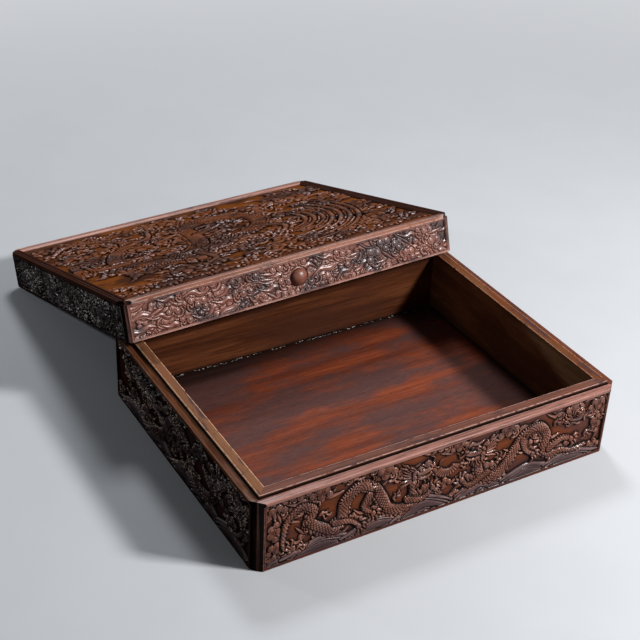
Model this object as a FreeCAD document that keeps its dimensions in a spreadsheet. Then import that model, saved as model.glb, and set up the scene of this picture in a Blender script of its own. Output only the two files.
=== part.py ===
import FreeCAD, Part
import math
import os
import Sketcher

# A low hardwood writing box for an ink stick and ink stone, with canted corners, a lining that
# stands proud as a lip, and a loose lid.  The lid is off: its front half lies on the box's rear
# rim and its back edge stands on the table.
#
# Frame: millimetres, +Z up, the origin on the table at the middle of the box's underside,
# +X along the length and +Y towards the back.  The lid's own frame has its origin at the middle
# of its open underside.  Every long piece is drawn as a front piece: X runs along it, Y runs
# inwards from the rim's outer edge, Z runs up.

SIZES = [
    # name, millimetres or degrees, what it is
    ("box_length", 300.0, "over the rim moulding, lid and box alike"),
    ("box_width", 236.0, "over the rim moulding, lid and box alike"),
    ("wall_height", 58.0, "table to the ledge that the lid closes on"),
    ("wall_thickness", 6.5, "outer wall at the ledge"),
    ("rim_proud", 0.8, "how far the rim moulding stands out from the carved face"),
    ("rim_band", 2.2, "height of the rim moulding on the box"),
    ("rim_cant", 8.4, "canted corner at the rim, along each side"),
    ("foot_border", 3.0, "plain band under the carved field of a wall"),
    ("head_border", 1.4, "bead between the carved field and the rim"),
    ("end_border", 1.6, "bead at each end of a carved field"),
    ("carving_depth", 1.8, "carved ground below the beads"),
    ("lining_thickness", 7.5, "inner boards"),
    ("lip_height", 2.5, "how far the lining stands above the ledge"),
    ("lip_ease", 0.5, "bevel on the outer edge of the lip"),
    ("floor_thickness", 8.0, "bottom board, flush underneath"),
    ("tongue_rise", 2.5, "underside to the bottom board's tongue"),
    ("tongue_thickness", 3.0, "bottom board's tongue"),
    ("tongue_length", 3.0, "bottom board's tongue, past the lining's face"),
    ("joint_gap", 0.1, "room round a tongue, rib or dowel"),
    ("lid_height", 32.0, "open underside to the top of the frame"),
    ("lip_clearance", 0.3, "between the lip and a closed lid's apron"),
    ("apron_cant", 4.2, "canted corner of the lid's aprons, along each side"),
    ("apron_border", 2.0, "plain band under the carved field of an apron"),
    ("frame_edge", 3.0, "part of the lid's frame that lies on top of the aprons"),
    ("frame_web", 1.3, "frame between an apron's inner face and the panel's groove"),
    ("frame_drop", 2.5, "top of the frame to the panel's carved ground"),
    ("cheek_reach", 6.0, "frame's lower cheek, past its visible inner edge"),
    ("cheek_thickness", 3.0, "lower cheek, which carries the panel"),
    ("panel_tongue", 3.0, "panel's thickness where it enters the frame"),
    ("panel_bite", 2.5, "depth of the frame's groove behind its visible edge"),
    ("panel_gap", 0.3, "room for the panel to swell in its groove"),
    ("batten_spacing", 150.0, "between the two battens' middles"),
    ("batten_width", 16.0, "batten under the panel"),
    ("batten_depth", 4.0, "batten below the panel"),
    ("rib_height", 2.0, "dovetail rib on the batten"),
    ("rib_top", 10.0, "dovetail rib at its widest"),
    ("rib_neck", 8.0, "dovetail rib at the batten"),
    ("boss_diameter", 13.5, "turned pearl on the front apron"),
    ("boss_height", 6.3, "pearl above the carved ground that it sits on"),
    ("boss_level", 14.8, "lid's underside to the pearl's middle"),
    ("dowel_diameter", 5.0, "pearl's dowel"),
    ("dowel_length", 3.2, "pearl's dowel, in the front apron"),
    ("lid_overlap", 30.5, "lid's front edge past the rear rim, along the lid"),
    ("lid_shift", 3.2, "lid's middle, left of the middle of its two supports"),
    ("lid_bearing", 0.8, "left ledge under the left apron"),
    ("lid_yaw", 2.85, "degrees that the lid lies askew"),
    ("rest_gap", 0.3, "air between the lid and the rim that carries it"),
]

# Expressions that several pieces share.
HALF_LENGTH = "Sizes.box_length / 2"
HALF_WIDTH = "Sizes.box_width / 2"
LINING_FACE = "(Sizes.wall_thickness + Sizes.lining_thickness)"
TONGUE_TOP = "(Sizes.tongue_rise + Sizes.tongue_thickness)"
APRON_TOP = "(Sizes.lid_height - Sizes.frame_edge)"
APRON_FACE = "(Sizes.wall_thickness - Sizes.lip_clearance)"
GROUND = "(Sizes.lid_height - Sizes.frame_drop)"
TONGUE_UNDER = "(Sizes.lid_height - Sizes.frame_drop - Sizes.panel_tongue)"
CHEEK_UNDER = f"({TONGUE_UNDER} - Sizes.cheek_thickness)"
GROOVE_FLOOR = f"({APRON_FACE} + Sizes.frame_web)"
FRAME_INNER = f"({GROOVE_FLOOR} + Sizes.panel_bite)"
CHEEK_EDGE = f"({FRAME_INNER} + Sizes.cheek_reach)"

WASTE = "5"  # how far the waste of a mitre cut reaches past the piece, in millimetres
SIDES = ["front", "right", "back", "left"]
UP = FreeCAD.Vector(0, 0, 1)

doc = FreeCAD.newDocument("WritingBox")
sheet = doc.addObject("Spreadsheet::Sheet", "Sizes")
for row, (alias, number, meaning) in enumerate(SIZES, start=1):
    sheet.set(f"A{row}", str(number))
    sheet.setAlias(f"A{row}", alias)
    sheet.set(f"B{row}", meaning)
doc.recompute()


def size(alias):
    """A driving dimension as a number."""
    return float(sheet.get(alias))


# ---------------------------------------------------------------- sketches and features


def new_body(label):
    body = doc.addObject("PartDesign::Body", label)
    body.Label = label
    return body


def add_sketch(body, name, role, outlines, offset="0"):
    """A sketch of closed straight outlines on one of the body's own planes, or offset from it.

    Every corner is a pair of expressions, and both of its coordinates are bound to them.
    """
    sketch = body.newObject("Sketcher::SketchObject", f"{body.Name}_{name}")
    plane = next(item for item in body.Origin.OriginFeatures if item.Role == role)
    sketch.AttachmentSupport = [(plane, "")]
    sketch.MapMode = "FlatFace"
    sketch.setExpression("AttachmentOffset.Base.z", offset)
    for corners in outlines:
        start = sketch.GeometryCount
        count = len(corners)
        points = []
        for along, across in corners:
            x = float(sketch.evalExpression(along))
            y = float(sketch.evalExpression(across))
            points.append(FreeCAD.Vector(x, y, 0))
        for index, point in enumerate(points):
            following = points[(index + 1) % count]
            sketch.addGeometry(Part.LineSegment(point, following))
        for index in range(count):
            following = start + (index + 1) % count
            sketch.addConstraint(Sketcher.Constraint("Coincident", start + index, 2, following, 1))
        for index, (along, across) in enumerate(corners):
            edge = start + index
            bind(sketch, "DistanceX", edge, points[index].x, along)
            bind(sketch, "DistanceY", edge, points[index].y, across)
    doc.recompute()
    return sketch


def bind(sketch, kind, edge, number, expression):
    """Holds the start of an edge at a distance from the origin that an expression gives."""
    constraint = sketch.addConstraint(Sketcher.Constraint(kind, -1, 1, edge, 1, number))
    sketch.setExpression(f"Constraints[{constraint}]", expression)


def pad(body, sketch, length, symmetric=False):
    feature = body.newObject("PartDesign::Pad", f"{sketch.Name}_pad")
    feature.Profile = sketch
    feature.setExpression("Length", length)
    feature.Midplane = symmetric
    doc.recompute()
    return feature


def pocket(body, sketch, depth=None):
    """Cuts to a depth, against the sketch's normal, or right through on both sides.

    A cut that removes nothing stops the build.
    """
    before = body.Shape.Volume
    feature = body.newObject("PartDesign::Pocket", f"{sketch.Name}_cut")
    feature.Profile = sketch
    if depth is None:
        feature.Type = "ThroughAll"
        feature.Midplane = True
    else:
        feature.setExpression("Length", depth)
    doc.recompute()
    if body.Shape.Volume > before - 1.0:
        raise RuntimeError(f"{feature.Name} cuts nothing")
    return feature


def rectangle(x_low, x_high, y_low, y_high):
    return [(x_low, y_low), (x_high, y_low), (x_high, y_high), (x_low, y_high)]


# ---------------------------------------------------------------- mitred lengths


def mitre_waste(half, cant, reach, sign):
    """Plan outline of what the mitre and the canted corner take off one end of a piece.

    The mitre starts at the rim's square corner and runs inwards at 45 degrees.  A cant meets it
    halfway along its own leg.
    """
    low = f"-{WASTE}"
    high = f"{reach} + {WASTE}"
    outside = f"{half} + {WASTE}"
    mitre_end = (f"{half} - {reach} - {WASTE}", high)
    if cant is None:
        corners = [(outside, low), mitre_end, (outside, high)]
    else:
        cant_start = (f"{half} - {cant} - {WASTE}", low)
        cant_end = (f"{half} - {cant} / 2", f"{cant} / 2")
        corners = [cant_start, cant_end, mitre_end, (outside, high), (outside, low)]
    return [(f"{sign} * ({along})", across) for along, across in corners]


def mitred_length(label, half, profile, reach, cant=None):
    """A length of moulding: its profile in Y and Z, drawn out along X, with both ends mitred."""
    body = new_body(label)
    section = add_sketch(body, "section", "YZ_Plane", [profile])
    pad(body, section, f"2 * {half}", symmetric=True)
    waste = [mitre_waste(half, cant, reach, sign) for sign in ("1", "-1")]
    ends = add_sketch(body, "ends", "XY_Plane", waste)
    pocket(body, ends)
    return body


def carved_field(body, half, cant, low, high):
    """The sunk field of a carved face, at the level of the carving's ground."""
    reach = f"({half} - {cant} - Sizes.end_border)"
    outline = rectangle(f"-{reach}", reach, low, high)
    field = add_sketch(body, "field", "XZ_Plane", [outline], "-Sizes.rim_proud")
    pocket(body, field, "Sizes.carving_depth")


def box_wall(label, half):
    """Outer wall: a board with the rim moulding worked on its top edge and a sunk field."""
    rim_under = "(Sizes.wall_height - Sizes.rim_band)"
    profile = [
        ("Sizes.rim_proud", "0"),
        ("Sizes.wall_thickness", "0"),
        ("Sizes.wall_thickness", "Sizes.wall_height"),
        ("0", "Sizes.wall_height"),
        ("0", rim_under),
        ("Sizes.rim_proud", rim_under),
    ]
    body = mitred_length(label, half, profile, "Sizes.wall_thickness", "Sizes.rim_cant")
    face_cant = "(Sizes.rim_cant - Sizes.rim_proud)"
    field_top = f"{rim_under} - Sizes.head_border"
    carved_field(body, half, face_cant, "Sizes.foot_border", field_top)
    return body


def box_lining(label, half):
    """Inner board: it carries the bottom board's tongue and stands proud as the lip."""
    lip_top = "(Sizes.wall_height + Sizes.lip_height)"
    groove_floor = f"({LINING_FACE} - Sizes.tongue_length - Sizes.joint_gap)"
    groove_low = "(Sizes.tongue_rise - Sizes.joint_gap)"
    groove_high = f"({TONGUE_TOP} + Sizes.joint_gap)"
    profile = [
        ("Sizes.wall_thickness", "0"),
        (LINING_FACE, "0"),
        (LINING_FACE, groove_low),
        (groove_floor, groove_low),
        (groove_floor, groove_high),
        (LINING_FACE, groove_high),
        (LINING_FACE, lip_top),
        ("Sizes.wall_thickness + Sizes.lip_ease", lip_top),
        ("Sizes.wall_thickness", f"{lip_top} - Sizes.lip_ease"),
    ]
    return mitred_length(label, half, profile, LINING_FACE)


def lid_apron(label, half):
    """Side of the lid: thinner than the ledge by the clearance over the lip."""
    profile = rectangle("Sizes.rim_proud", APRON_FACE, "0", APRON_TOP)
    outer_cant = "(Sizes.apron_cant + 2 * Sizes.rim_proud)"
    body = mitred_length(label, half, profile, APRON_FACE, outer_cant)
    face_cant = "(Sizes.apron_cant + Sizes.rim_proud)"
    field_top = f"{APRON_TOP} - Sizes.head_border"
    carved_field(body, half, face_cant, "Sizes.apron_border", field_top)
    return body


def lid_rail(label, half):
    """Frame rail: it laps over the apron and holds the panel's tongue above its lower cheek."""
    profile = [
        ("0", APRON_TOP),
        (APRON_FACE, APRON_TOP),
        (APRON_FACE, CHEEK_UNDER),
        (CHEEK_EDGE, CHEEK_UNDER),
        (CHEEK_EDGE, TONGUE_UNDER),
        (GROOVE_FLOOR, TONGUE_UNDER),
        (GROOVE_FLOOR, GROUND),
        (FRAME_INNER, GROUND),
        (FRAME_INNER, "Sizes.lid_height"),
        ("0", "Sizes.lid_height"),
    ]
    return mitred_length(label, half, profile, CHEEK_EDGE, "Sizes.rim_cant")


# ---------------------------------------------------------------- boards, battens and the pearl


def plate(body, name, inset, bottom, thickness):
    """A rectangular layer, set in from the rim's outer edge on all four sides."""
    half_x = f"({HALF_LENGTH} - {inset})"
    half_y = f"({HALF_WIDTH} - {inset})"
    outline = rectangle(f"-{half_x}", half_x, f"-{half_y}", half_y)
    layer = add_sketch(body, name, "XY_Plane", [outline], bottom)
    return pad(body, layer, thickness)


def floor_board(label):
    """Bottom board: flush with the walls underneath, with a tongue in the lining's groove."""
    body = new_body(label)
    board_inset = f"({LINING_FACE} + Sizes.joint_gap)"
    tongue_inset = f"({LINING_FACE} - Sizes.tongue_length)"
    plate(body, "board", board_inset, "0", "Sizes.floor_thickness")
    plate(body, "tongue", tongue_inset, "Sizes.tongue_rise", "Sizes.tongue_thickness")
    return body


def rib_profile(middle, clearance):
    """Dovetail section of a batten's rib, in X and Z, with room round it when cut as a groove."""
    low = CHEEK_UNDER
    high = f"({CHEEK_UNDER} + Sizes.rib_height + {clearance})"
    neck = f"(Sizes.rib_neck / 2 + {clearance})"
    wide = f"(Sizes.rib_top / 2 + {clearance})"
    return [
        (f"{middle} - {neck}", low),
        (f"{middle} + {neck}", low),
        (f"{middle} + {wide}", high),
        (f"{middle} - {wide}", high),
    ]


def lid_panel(label):
    """Floating panel: its top is the carving's ground, its edge a tongue in the frame."""
    body = new_body(label)
    tongue_inset = f"({GROOVE_FLOOR} + Sizes.panel_gap)"
    board_inset = f"({CHEEK_EDGE} + Sizes.panel_gap)"
    plate(body, "tongue", tongue_inset, TONGUE_UNDER, "Sizes.panel_tongue")
    plate(body, "board", board_inset, CHEEK_UNDER, "Sizes.cheek_thickness")
    grooves = [
        rib_profile("-Sizes.batten_spacing / 2", "Sizes.joint_gap"),
        rib_profile("Sizes.batten_spacing / 2", "Sizes.joint_gap"),
    ]
    housing = add_sketch(body, "housing", "XZ_Plane", grooves)
    pocket(body, housing)
    return body


def lid_batten(label, sign):
    """Batten under the panel: a bar between the aprons with a dovetail rib along it."""
    body = new_body(label)
    middle = f"{sign} * Sizes.batten_spacing / 2"
    bar_outline = rectangle(
        f"{middle} - Sizes.batten_width / 2",
        f"{middle} + Sizes.batten_width / 2",
        f"{CHEEK_UNDER} - Sizes.batten_depth",
        CHEEK_UNDER,
    )
    bar = add_sketch(body, "bar", "XZ_Plane", [bar_outline])
    pad(body, bar, f"Sizes.box_width - 2 * ({APRON_FACE} + Sizes.joint_gap)", symmetric=True)
    rib = add_sketch(body, "rib", "XZ_Plane", [rib_profile(middle, "0")])
    rib_inset = f"({CHEEK_EDGE} + Sizes.panel_gap)"
    pad(body, rib, f"Sizes.box_width - 2 * {rib_inset}", symmetric=True)
    return body


def bore_for_dowel(apron):
    """Drills the front apron right through its thickness for the pearl's dowel."""
    sketch = apron.newObject("Sketcher::SketchObject", f"{apron.Name}_bore")
    plane = next(item for item in apron.Origin.OriginFeatures if item.Role == "XZ_Plane")
    sketch.AttachmentSupport = [(plane, "")]
    sketch.MapMode = "FlatFace"
    radius = size("dowel_diameter") / 2 + size("joint_gap")
    centre = FreeCAD.Vector(0, size("boss_level"), 0)
    sketch.addGeometry(Part.Circle(centre, UP, radius))
    sketch.addConstraint(Sketcher.Constraint("PointOnObject", 0, 3, -2))
    level = sketch.addConstraint(Sketcher.Constraint("DistanceY", -1, 1, 0, 3, centre.y))
    sketch.setExpression(f"Constraints[{level}]", "Sizes.boss_level")
    round_size = sketch.addConstraint(Sketcher.Constraint("Radius", 0, radius))
    sketch.setExpression(f"Constraints[{round_size}]", "Sizes.dowel_diameter / 2 + Sizes.joint_gap")
    doc.recompute()
    pocket(apron, sketch)


def pearl_boss(label):
    """Turned pearl: a flattened dome on a dowel, drawn with its axis along Z."""
    dome = doc.addObject("Part::Ellipsoid", f"{label}_dome")
    dome.setExpression("Radius1", "Sizes.boss_height")
    dome.setExpression("Radius2", "Sizes.boss_diameter / 2")
    dome.setExpression("Radius3", "Sizes.boss_diameter / 2")
    dome.Angle1 = 0
    dowel = doc.addObject("Part::Cylinder", f"{label}_dowel")
    dowel.setExpression("Radius", "Sizes.dowel_diameter / 2")
    dowel.setExpression("Height", "Sizes.dowel_length")
    dowel.setExpression("Placement.Base.z", "-Sizes.dowel_length")
    pearl = doc.addObject("Part::Fuse", label)
    pearl.Label = label
    pearl.Base = dome
    pearl.Tool = dowel
    doc.recompute()
    return pearl


# ---------------------------------------------------------------- where the pieces lie


def side_placement(side):
    """Turns a piece drawn as a front piece to its own side of the box or the lid."""
    turn = 90 * SIDES.index(side)
    depth = size("box_width") if side in ("front", "back") else size("box_length")
    rotation = FreeCAD.Rotation(UP, turn)
    base = rotation.multVec(FreeCAD.Vector(0, -depth / 2, 0))
    return FreeCAD.Placement(base, rotation)


def boss_placement():
    """The pearl's axis points out of the front apron, from the carved ground."""
    ground = size("rim_proud") + size("carving_depth") - size("box_width") / 2
    outwards = FreeCAD.Rotation(FreeCAD.Vector(1, 0, 0), 90)
    return FreeCAD.Placement(FreeCAD.Vector(0, ground, size("boss_level")), outwards)


def lid_placement():
    """The lid's resting place, from the three points that carry it.

    The left apron bears on the box's left ledge just in front of the canted rear corner, the
    right apron on the rear right corner of the lip, and the lid's rear right corner stands on
    the table.
    """
    half_length = size("box_length") / 2
    half_width = size("box_width") / 2
    bearing = size("lid_bearing")
    left = FreeCAD.Vector(
        bearing - half_length,
        half_width - size("rim_cant") + bearing,
        size("wall_height") + size("rest_gap"),
    )
    right = FreeCAD.Vector(
        half_length - size("wall_thickness"),
        half_width - size("wall_thickness"),
        size("wall_height") + size("lip_height") + size("rest_gap"),
    )
    middle = (left + right) * 0.5
    corner_x = half_length - size("rim_proud") - size("apron_cant")
    corner_y = half_width - size("rim_proud")
    across = corner_x - size("lid_shift")
    along_slope = corner_y + half_width - size("lid_overlap")
    along_table = math.sqrt(along_slope ** 2 - middle.z ** 2)
    yaw = math.radians(size("lid_yaw"))
    foot = FreeCAD.Vector(
        middle.x + across * math.cos(yaw) - along_table * math.sin(yaw),
        middle.y + across * math.sin(yaw) + along_table * math.cos(yaw),
        0,
    )
    normal = (right - left).cross(foot - left)
    normal.normalize()
    if normal.z < 0:
        normal = normal * -1
    slope_along_x = -(normal.x * math.cos(yaw) + normal.y * math.sin(yaw)) / normal.z
    x_axis = FreeCAD.Vector(math.cos(yaw), math.sin(yaw), slope_along_x)
    x_axis.normalize()
    y_axis = normal.cross(x_axis)
    rotation = FreeCAD.Rotation(x_axis, y_axis, normal, "ZXY")
    origin = foot - rotation.multVec(FreeCAD.Vector(corner_x, corner_y, 0))
    return FreeCAD.Placement(origin, rotation)


# ---------------------------------------------------------------- the pieces


pieces = []


def keep(piece, placement):
    piece.Placement = placement
    pieces.append(piece)


lid_rest = lid_placement()
for side in SIDES:
    half = HALF_LENGTH if side in ("front", "back") else HALF_WIDTH
    on_box = side_placement(side)
    on_lid = lid_rest.multiply(on_box)
    keep(box_wall(f"box_{side}_wall", half), on_box)
    keep(box_lining(f"box_{side}_lining", half), on_box)
    apron = lid_apron(f"lid_{side}_apron", half)
    if side == "front":
        bore_for_dowel(apron)
    keep(apron, on_lid)
    keep(lid_rail(f"lid_{side}_rail", half), on_lid)

keep(floor_board("box_floor_board"), FreeCAD.Placement())
keep(lid_panel("lid_panel"), lid_rest)
keep(lid_batten("lid_left_batten", "-1"), lid_rest)
keep(lid_batten("lid_right_batten", "1"), lid_rest)
keep(pearl_boss("lid_pearl_boss"), lid_rest.multiply(boss_placement()))
doc.recompute()

for item in doc.Objects:
    if "Invalid" in item.State or "Error" in item.State:
        raise RuntimeError(f"{item.Label} did not build: {item.State}")

for piece in pieces:
    shape = piece.Shape
    if shape.isNull() or not shape.isValid() or len(shape.Solids) != 1:
        raise RuntimeError(f"{piece.Label} is not one sound solid")

os.makedirs("parts", exist_ok=True)
for piece in pieces:
    piece.Shape.exportStep(f"parts/{piece.Label}.step")
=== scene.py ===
# %% [markdown]
# # A carved hardwood box for an ink stick and stone
#
# The box is a shallow tray of dark red-brown hardwood with a lid like an upturned tray. Carved
# boards stand around plain lining boards, and the lining's top edge is the lip the lid closes over.
# Here the lid is off and leans with its front on the box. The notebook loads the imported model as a
# fixed frame, then builds each board again with its carving and its worn, waxed wood, in the same
# place and in metres.

import bpy
import numpy as np
from mathutils import Matrix, Vector


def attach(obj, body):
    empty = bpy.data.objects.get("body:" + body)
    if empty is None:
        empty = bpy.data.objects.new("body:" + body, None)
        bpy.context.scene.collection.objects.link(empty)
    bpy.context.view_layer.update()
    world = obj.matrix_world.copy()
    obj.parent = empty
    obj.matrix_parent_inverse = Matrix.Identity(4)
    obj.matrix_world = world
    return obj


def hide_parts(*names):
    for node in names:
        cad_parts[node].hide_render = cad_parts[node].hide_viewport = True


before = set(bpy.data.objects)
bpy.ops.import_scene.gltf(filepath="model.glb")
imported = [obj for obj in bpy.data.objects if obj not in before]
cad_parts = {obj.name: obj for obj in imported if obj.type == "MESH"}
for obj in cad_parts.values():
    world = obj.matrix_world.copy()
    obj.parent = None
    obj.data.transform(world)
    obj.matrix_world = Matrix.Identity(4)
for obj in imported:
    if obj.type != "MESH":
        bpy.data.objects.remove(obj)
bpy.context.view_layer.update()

# %% [markdown]
# ## Measures
#
# Boxes like this one are made board by board, so the measures are a joiner's: lengths over all,
# board thicknesses, and how far a face stands back from the rim. They repeat the construction's own
# values in millimetres.

# %% The box's and the lid's measures, in millimetres
MM = 0.001
BOX_LENGTH, BOX_WIDTH, LEDGE = 300.0, 236.0, 58.0
WALL, LINING, LIP = 6.5, 7.5, 2.5
RIM_PROUD, RIM_CANT = 0.8, 8.4
APRON_CANT, APRON_BACK, APRON_HEIGHT, LID_HEIGHT = 5.8, 6.2, 29.0, 32.0
BOARD_UNDER, TONGUE_UNDER, PANEL_GROUND = 23.5, 26.5, 29.5
PEARL_HEIGHT = 14.8
DEPTH_OF_CARVING = 1.8
GROUND_Y = RIM_PROUD + DEPTH_OF_CARVING
# For each side: its turn in degrees, its length, and the distance across to its opposite side.
SIDES = {"front": (0, BOX_LENGTH, BOX_WIDTH), "right": (90, BOX_WIDTH, BOX_LENGTH),
         "back": (180, BOX_LENGTH, BOX_WIDTH), "left": (270, BOX_WIDTH, BOX_LENGTH)}
print("each board is drawn once along x, then turned by",
      [turn for turn, _, _ in SIDES.values()], "degrees")

# %% [markdown]
# ## Where the lid lies
#
# A loose lid comes to rest on three points. Its left apron bears on the left ledge by the front
# corner, its right apron bears on the rear right corner of the lip, and its own rear right corner
# is on the table. Three points fix a plane, and the lid's turn on that plane is the small yaw that
# the lid was put down with.

# %% The lid's place from its three supports
LID_OVERLAP, LID_SHIFT, LID_BEARING, LID_YAW, REST_GAP = 30.5, 3.2, 0.8, np.radians(2.85), 0.3


def lid_placement():
    """The lid's turn (3x3) and the place of its origin, in millimetres: x runs along the lid, y
    away from its front, z out of its top. The normal is the cross product of the lines from the
    left support to the others."""
    left = np.array([LID_BEARING - BOX_LENGTH / 2, BOX_WIDTH / 2 - RIM_CANT + LID_BEARING,
                     LEDGE + REST_GAP])
    right = np.array([BOX_LENGTH / 2 - WALL, BOX_WIDTH / 2 - WALL, LEDGE + LIP + REST_GAP])
    corner = np.array([BOX_LENGTH / 2 - RIM_PROUD - (APRON_CANT - 2 * RIM_PROUD),
                       BOX_WIDTH / 2 - RIM_PROUD, 0.0])
    middle = (left + right) / 2
    across = corner[0] - LID_SHIFT
    along_slope = corner[1] + BOX_WIDTH / 2 - LID_OVERLAP
    along_table = np.sqrt(along_slope ** 2 - middle[2] ** 2)
    sin_yaw, cos_yaw = np.sin(LID_YAW), np.cos(LID_YAW)
    foot = np.array([middle[0] + across * cos_yaw - along_table * sin_yaw,
                     middle[1] + across * sin_yaw + along_table * cos_yaw, 0.0])
    normal = np.cross(right - left, foot - left)
    normal *= np.sign(normal[2]) / np.linalg.norm(normal)
    slope = -(normal[0] * cos_yaw + normal[1] * sin_yaw) / normal[2]
    x_axis = np.array([cos_yaw, sin_yaw, slope])
    x_axis /= np.linalg.norm(x_axis)
    turn = np.column_stack([x_axis, np.cross(normal, x_axis), normal])
    return turn, foot - turn @ corner


LID_TURN, LID_ORIGIN = lid_placement()


def laid_on_lid(points):
    """Points of the lid, drawn level at the origin, in the place where the lid lies."""
    return points @ LID_TURN.T + LID_ORIGIN


print("the lid's origin is at", LID_ORIGIN.round(3), "mm, its top leans by",
      round(float(np.degrees(np.arccos(LID_TURN[2, 2]))), 2), "degrees")

# %% [markdown]
# ## Carving as a field of heights
#
# Relief carving is a picture in heights: the carver leaves the ornament at the board's face and
# sinks the ground around it. It could be sculpted by hand or displaced by an image, but here it is
# drawn stroke by stroke on a grid of heights, as a carver lays it out: each motif stands on what is
# under it, and a small trench is cleared round its edge, which is what makes a carving readable.

# %% A smooth path through a few points
def smooth_path(points, step=0.4):
    """A Catmull-Rom curve through the points, read off again at equal steps of its length. Between
    two points it is the cubic whose end slopes are half the chord of their neighbours."""
    knots = np.asarray(points, float)
    knots = np.vstack([2 * knots[0] - knots[1], knots, 2 * knots[-1] - knots[-2]])
    t = np.linspace(0, 1, 24, endpoint=False)[:, None]
    a, b, c, d = knots[:-3, None], knots[1:-2, None], knots[2:-1, None], knots[3:, None]
    square, cube = (2 * a - 5 * b + 4 * c - d) * t ** 2, (3 * b - 3 * c + d - a) * t ** 3
    curve = 0.5 * (2 * b + (c - a) * t + square + cube)
    curve = np.vstack([curve.reshape(-1, 2), knots[-2]])
    length = np.r_[0, np.cumsum(np.hypot(*np.diff(curve, axis=0).T))]
    even = np.linspace(0, length[-1], max(4, int(length[-1] / step) + 1))
    return np.column_stack([np.interp(even, length, curve[:, k]) for k in (0, 1)]), even


def turned(points, angle, scale=1.0, at=(0, 0), mirror=False):
    """Points of a small drawing, scaled, mirrored across its upright axis, turned and moved."""
    drawn = np.atleast_2d(np.asarray(points, float)) * scale
    if mirror:
        drawn = drawn * [-1, 1]
    cos, sin = np.cos(angle), np.sin(angle)
    return drawn @ np.array([[cos, sin], [-sin, cos]]) + at


def placing(angle, scale, at, mirror):
    """A function that puts any points of one drawing in the same place."""
    return lambda points: turned(points, angle, scale, at, mirror)


# %% The field, and how a motif is laid on it
OUTLINE = 0.4  # how far below the ground the trench round a motif is cut
MARGIN = 1.2   # how far outside its outline a motif still changes the field


def softened(heights, cells):
    """The heights blurred by a bell curve some cells wide, along each side of the grid in turn."""
    reach = np.arange(-int(3 * cells), int(3 * cells) + 1)
    bell = np.exp(-0.5 * (reach / cells) ** 2)
    bell /= bell.sum()
    padded = np.pad(heights, len(reach) // 2, mode="edge")
    padded = sum(weight * padded[k:k + heights.shape[0]] for k, weight in enumerate(bell))
    return sum(weight * padded[:, k:k + heights.shape[1]] for k, weight in enumerate(bell))


def rounded(q):
    """The height of a half circle over -1 to 1."""
    return np.sqrt(np.clip(1 - q ** 2, 0, 1))


class Field:
    """Heights in mm over the ground, on a grid with u along the board and v up it. water marks the
    waves, and crisp is how sharply a crest is told from its surroundings when the wear is worked
    out."""

    def __init__(self, width, height, pitch, low=0.0):
        self.u = np.linspace(-width / 2, width / 2, round(width / pitch) + 1)
        self.v = np.linspace(low, low + height, round(height / pitch) + 1)
        self.h = np.zeros((len(self.u), len(self.v)))
        self.water = np.zeros(self.h.shape, bool)
        self.crisp = 1.5

    def window(self, low, high):
        """The part of the grid between two corners, with its u and v."""
        i = slice(*np.searchsorted(self.u, [low[0], high[0]]))
        j = slice(*np.searchsorted(self.v, [low[1], high[1]]))
        return (i, j), self.u[i, None], self.v[None, j]

    def around(self, at, reach):
        """The part of the grid within reach of a point, and its offsets from the point."""
        part, u, v = self.window(np.subtract(at, reach + MARGIN), np.add(at, reach + MARGIN))
        return part, u - at[0], v - at[1]

    def lay(self, part, edge, top, bevel=0.6, trench=0.8):
        """Lays a motif. edge is the distance inside its outline. Inside, the height climbs to top
        over the bevel on a quarter sine. Outside, the old heights sink towards the outline within
        the trench, a little below ground."""
        old = self.h[part]
        climb = np.sin(np.clip(edge / bevel, 0, 1) * np.pi / 2)
        sunk = (1 - np.clip(-edge / trench, 0, 1)) ** 1.5
        kept = old * (1 - sunk) - OUTLINE * sunk * (old > -0.5 * OUTLINE)
        self.h[part] = np.where(edge > 0, top * climb, kept)

    def follow(self, points, reach):
        """For the grid near a path: distance, arc length and signed offset of the nearest path
        point. The path is gone through a few samples at a time, each with only its own window of
        the grid."""
        path, length = smooth_path(points)
        along = np.gradient(path, axis=0)
        along /= np.linalg.norm(along, axis=1)[:, None]
        far_off, samples = 1e9, 16
        near, s, offset, ends = (np.full(self.h.shape, fill) for fill in (far_off, 0.0, 0.0, 0.0))
        for first in range(0, len(path), samples):
            piece = path[first:first + samples]
            part, u, v = self.window(piece.min(0) - reach, piece.max(0) + reach)
            apart = np.sqrt((u[..., None] - piece[:, 0]) ** 2 + (v[..., None] - piece[:, 1]) ** 2)
            k = apart.argmin(-1)
            best = np.take_along_axis(apart, k[..., None], -1)[..., 0]
            du, dv = u - piece[k, 0], v - piece[k, 1]
            x, y = np.moveaxis(along[first:first + samples][k], -1, 0)
            at_end = (first + k == 0) | (first + k == len(path) - 1)
            closer = best < near[part]
            for whole, new in ((near, best), (s, length[first + k] + du * x + dv * y),
                               (offset, dv * x - du * y), (ends, at_end)):
                whole[part] = np.where(closer, new, whole[part])
        near = np.where((near < far_off) & (ends == 0), np.abs(offset), near)
        part, _, _ = self.window(path.min(0) - reach, path.max(0) + reach)
        return part, near[part], s[part], offset[part], length[-1]


print("a stroke through three points has", len(smooth_path([(0, 0), (5, 3), (10, 0)])[0]), "samples")

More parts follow.
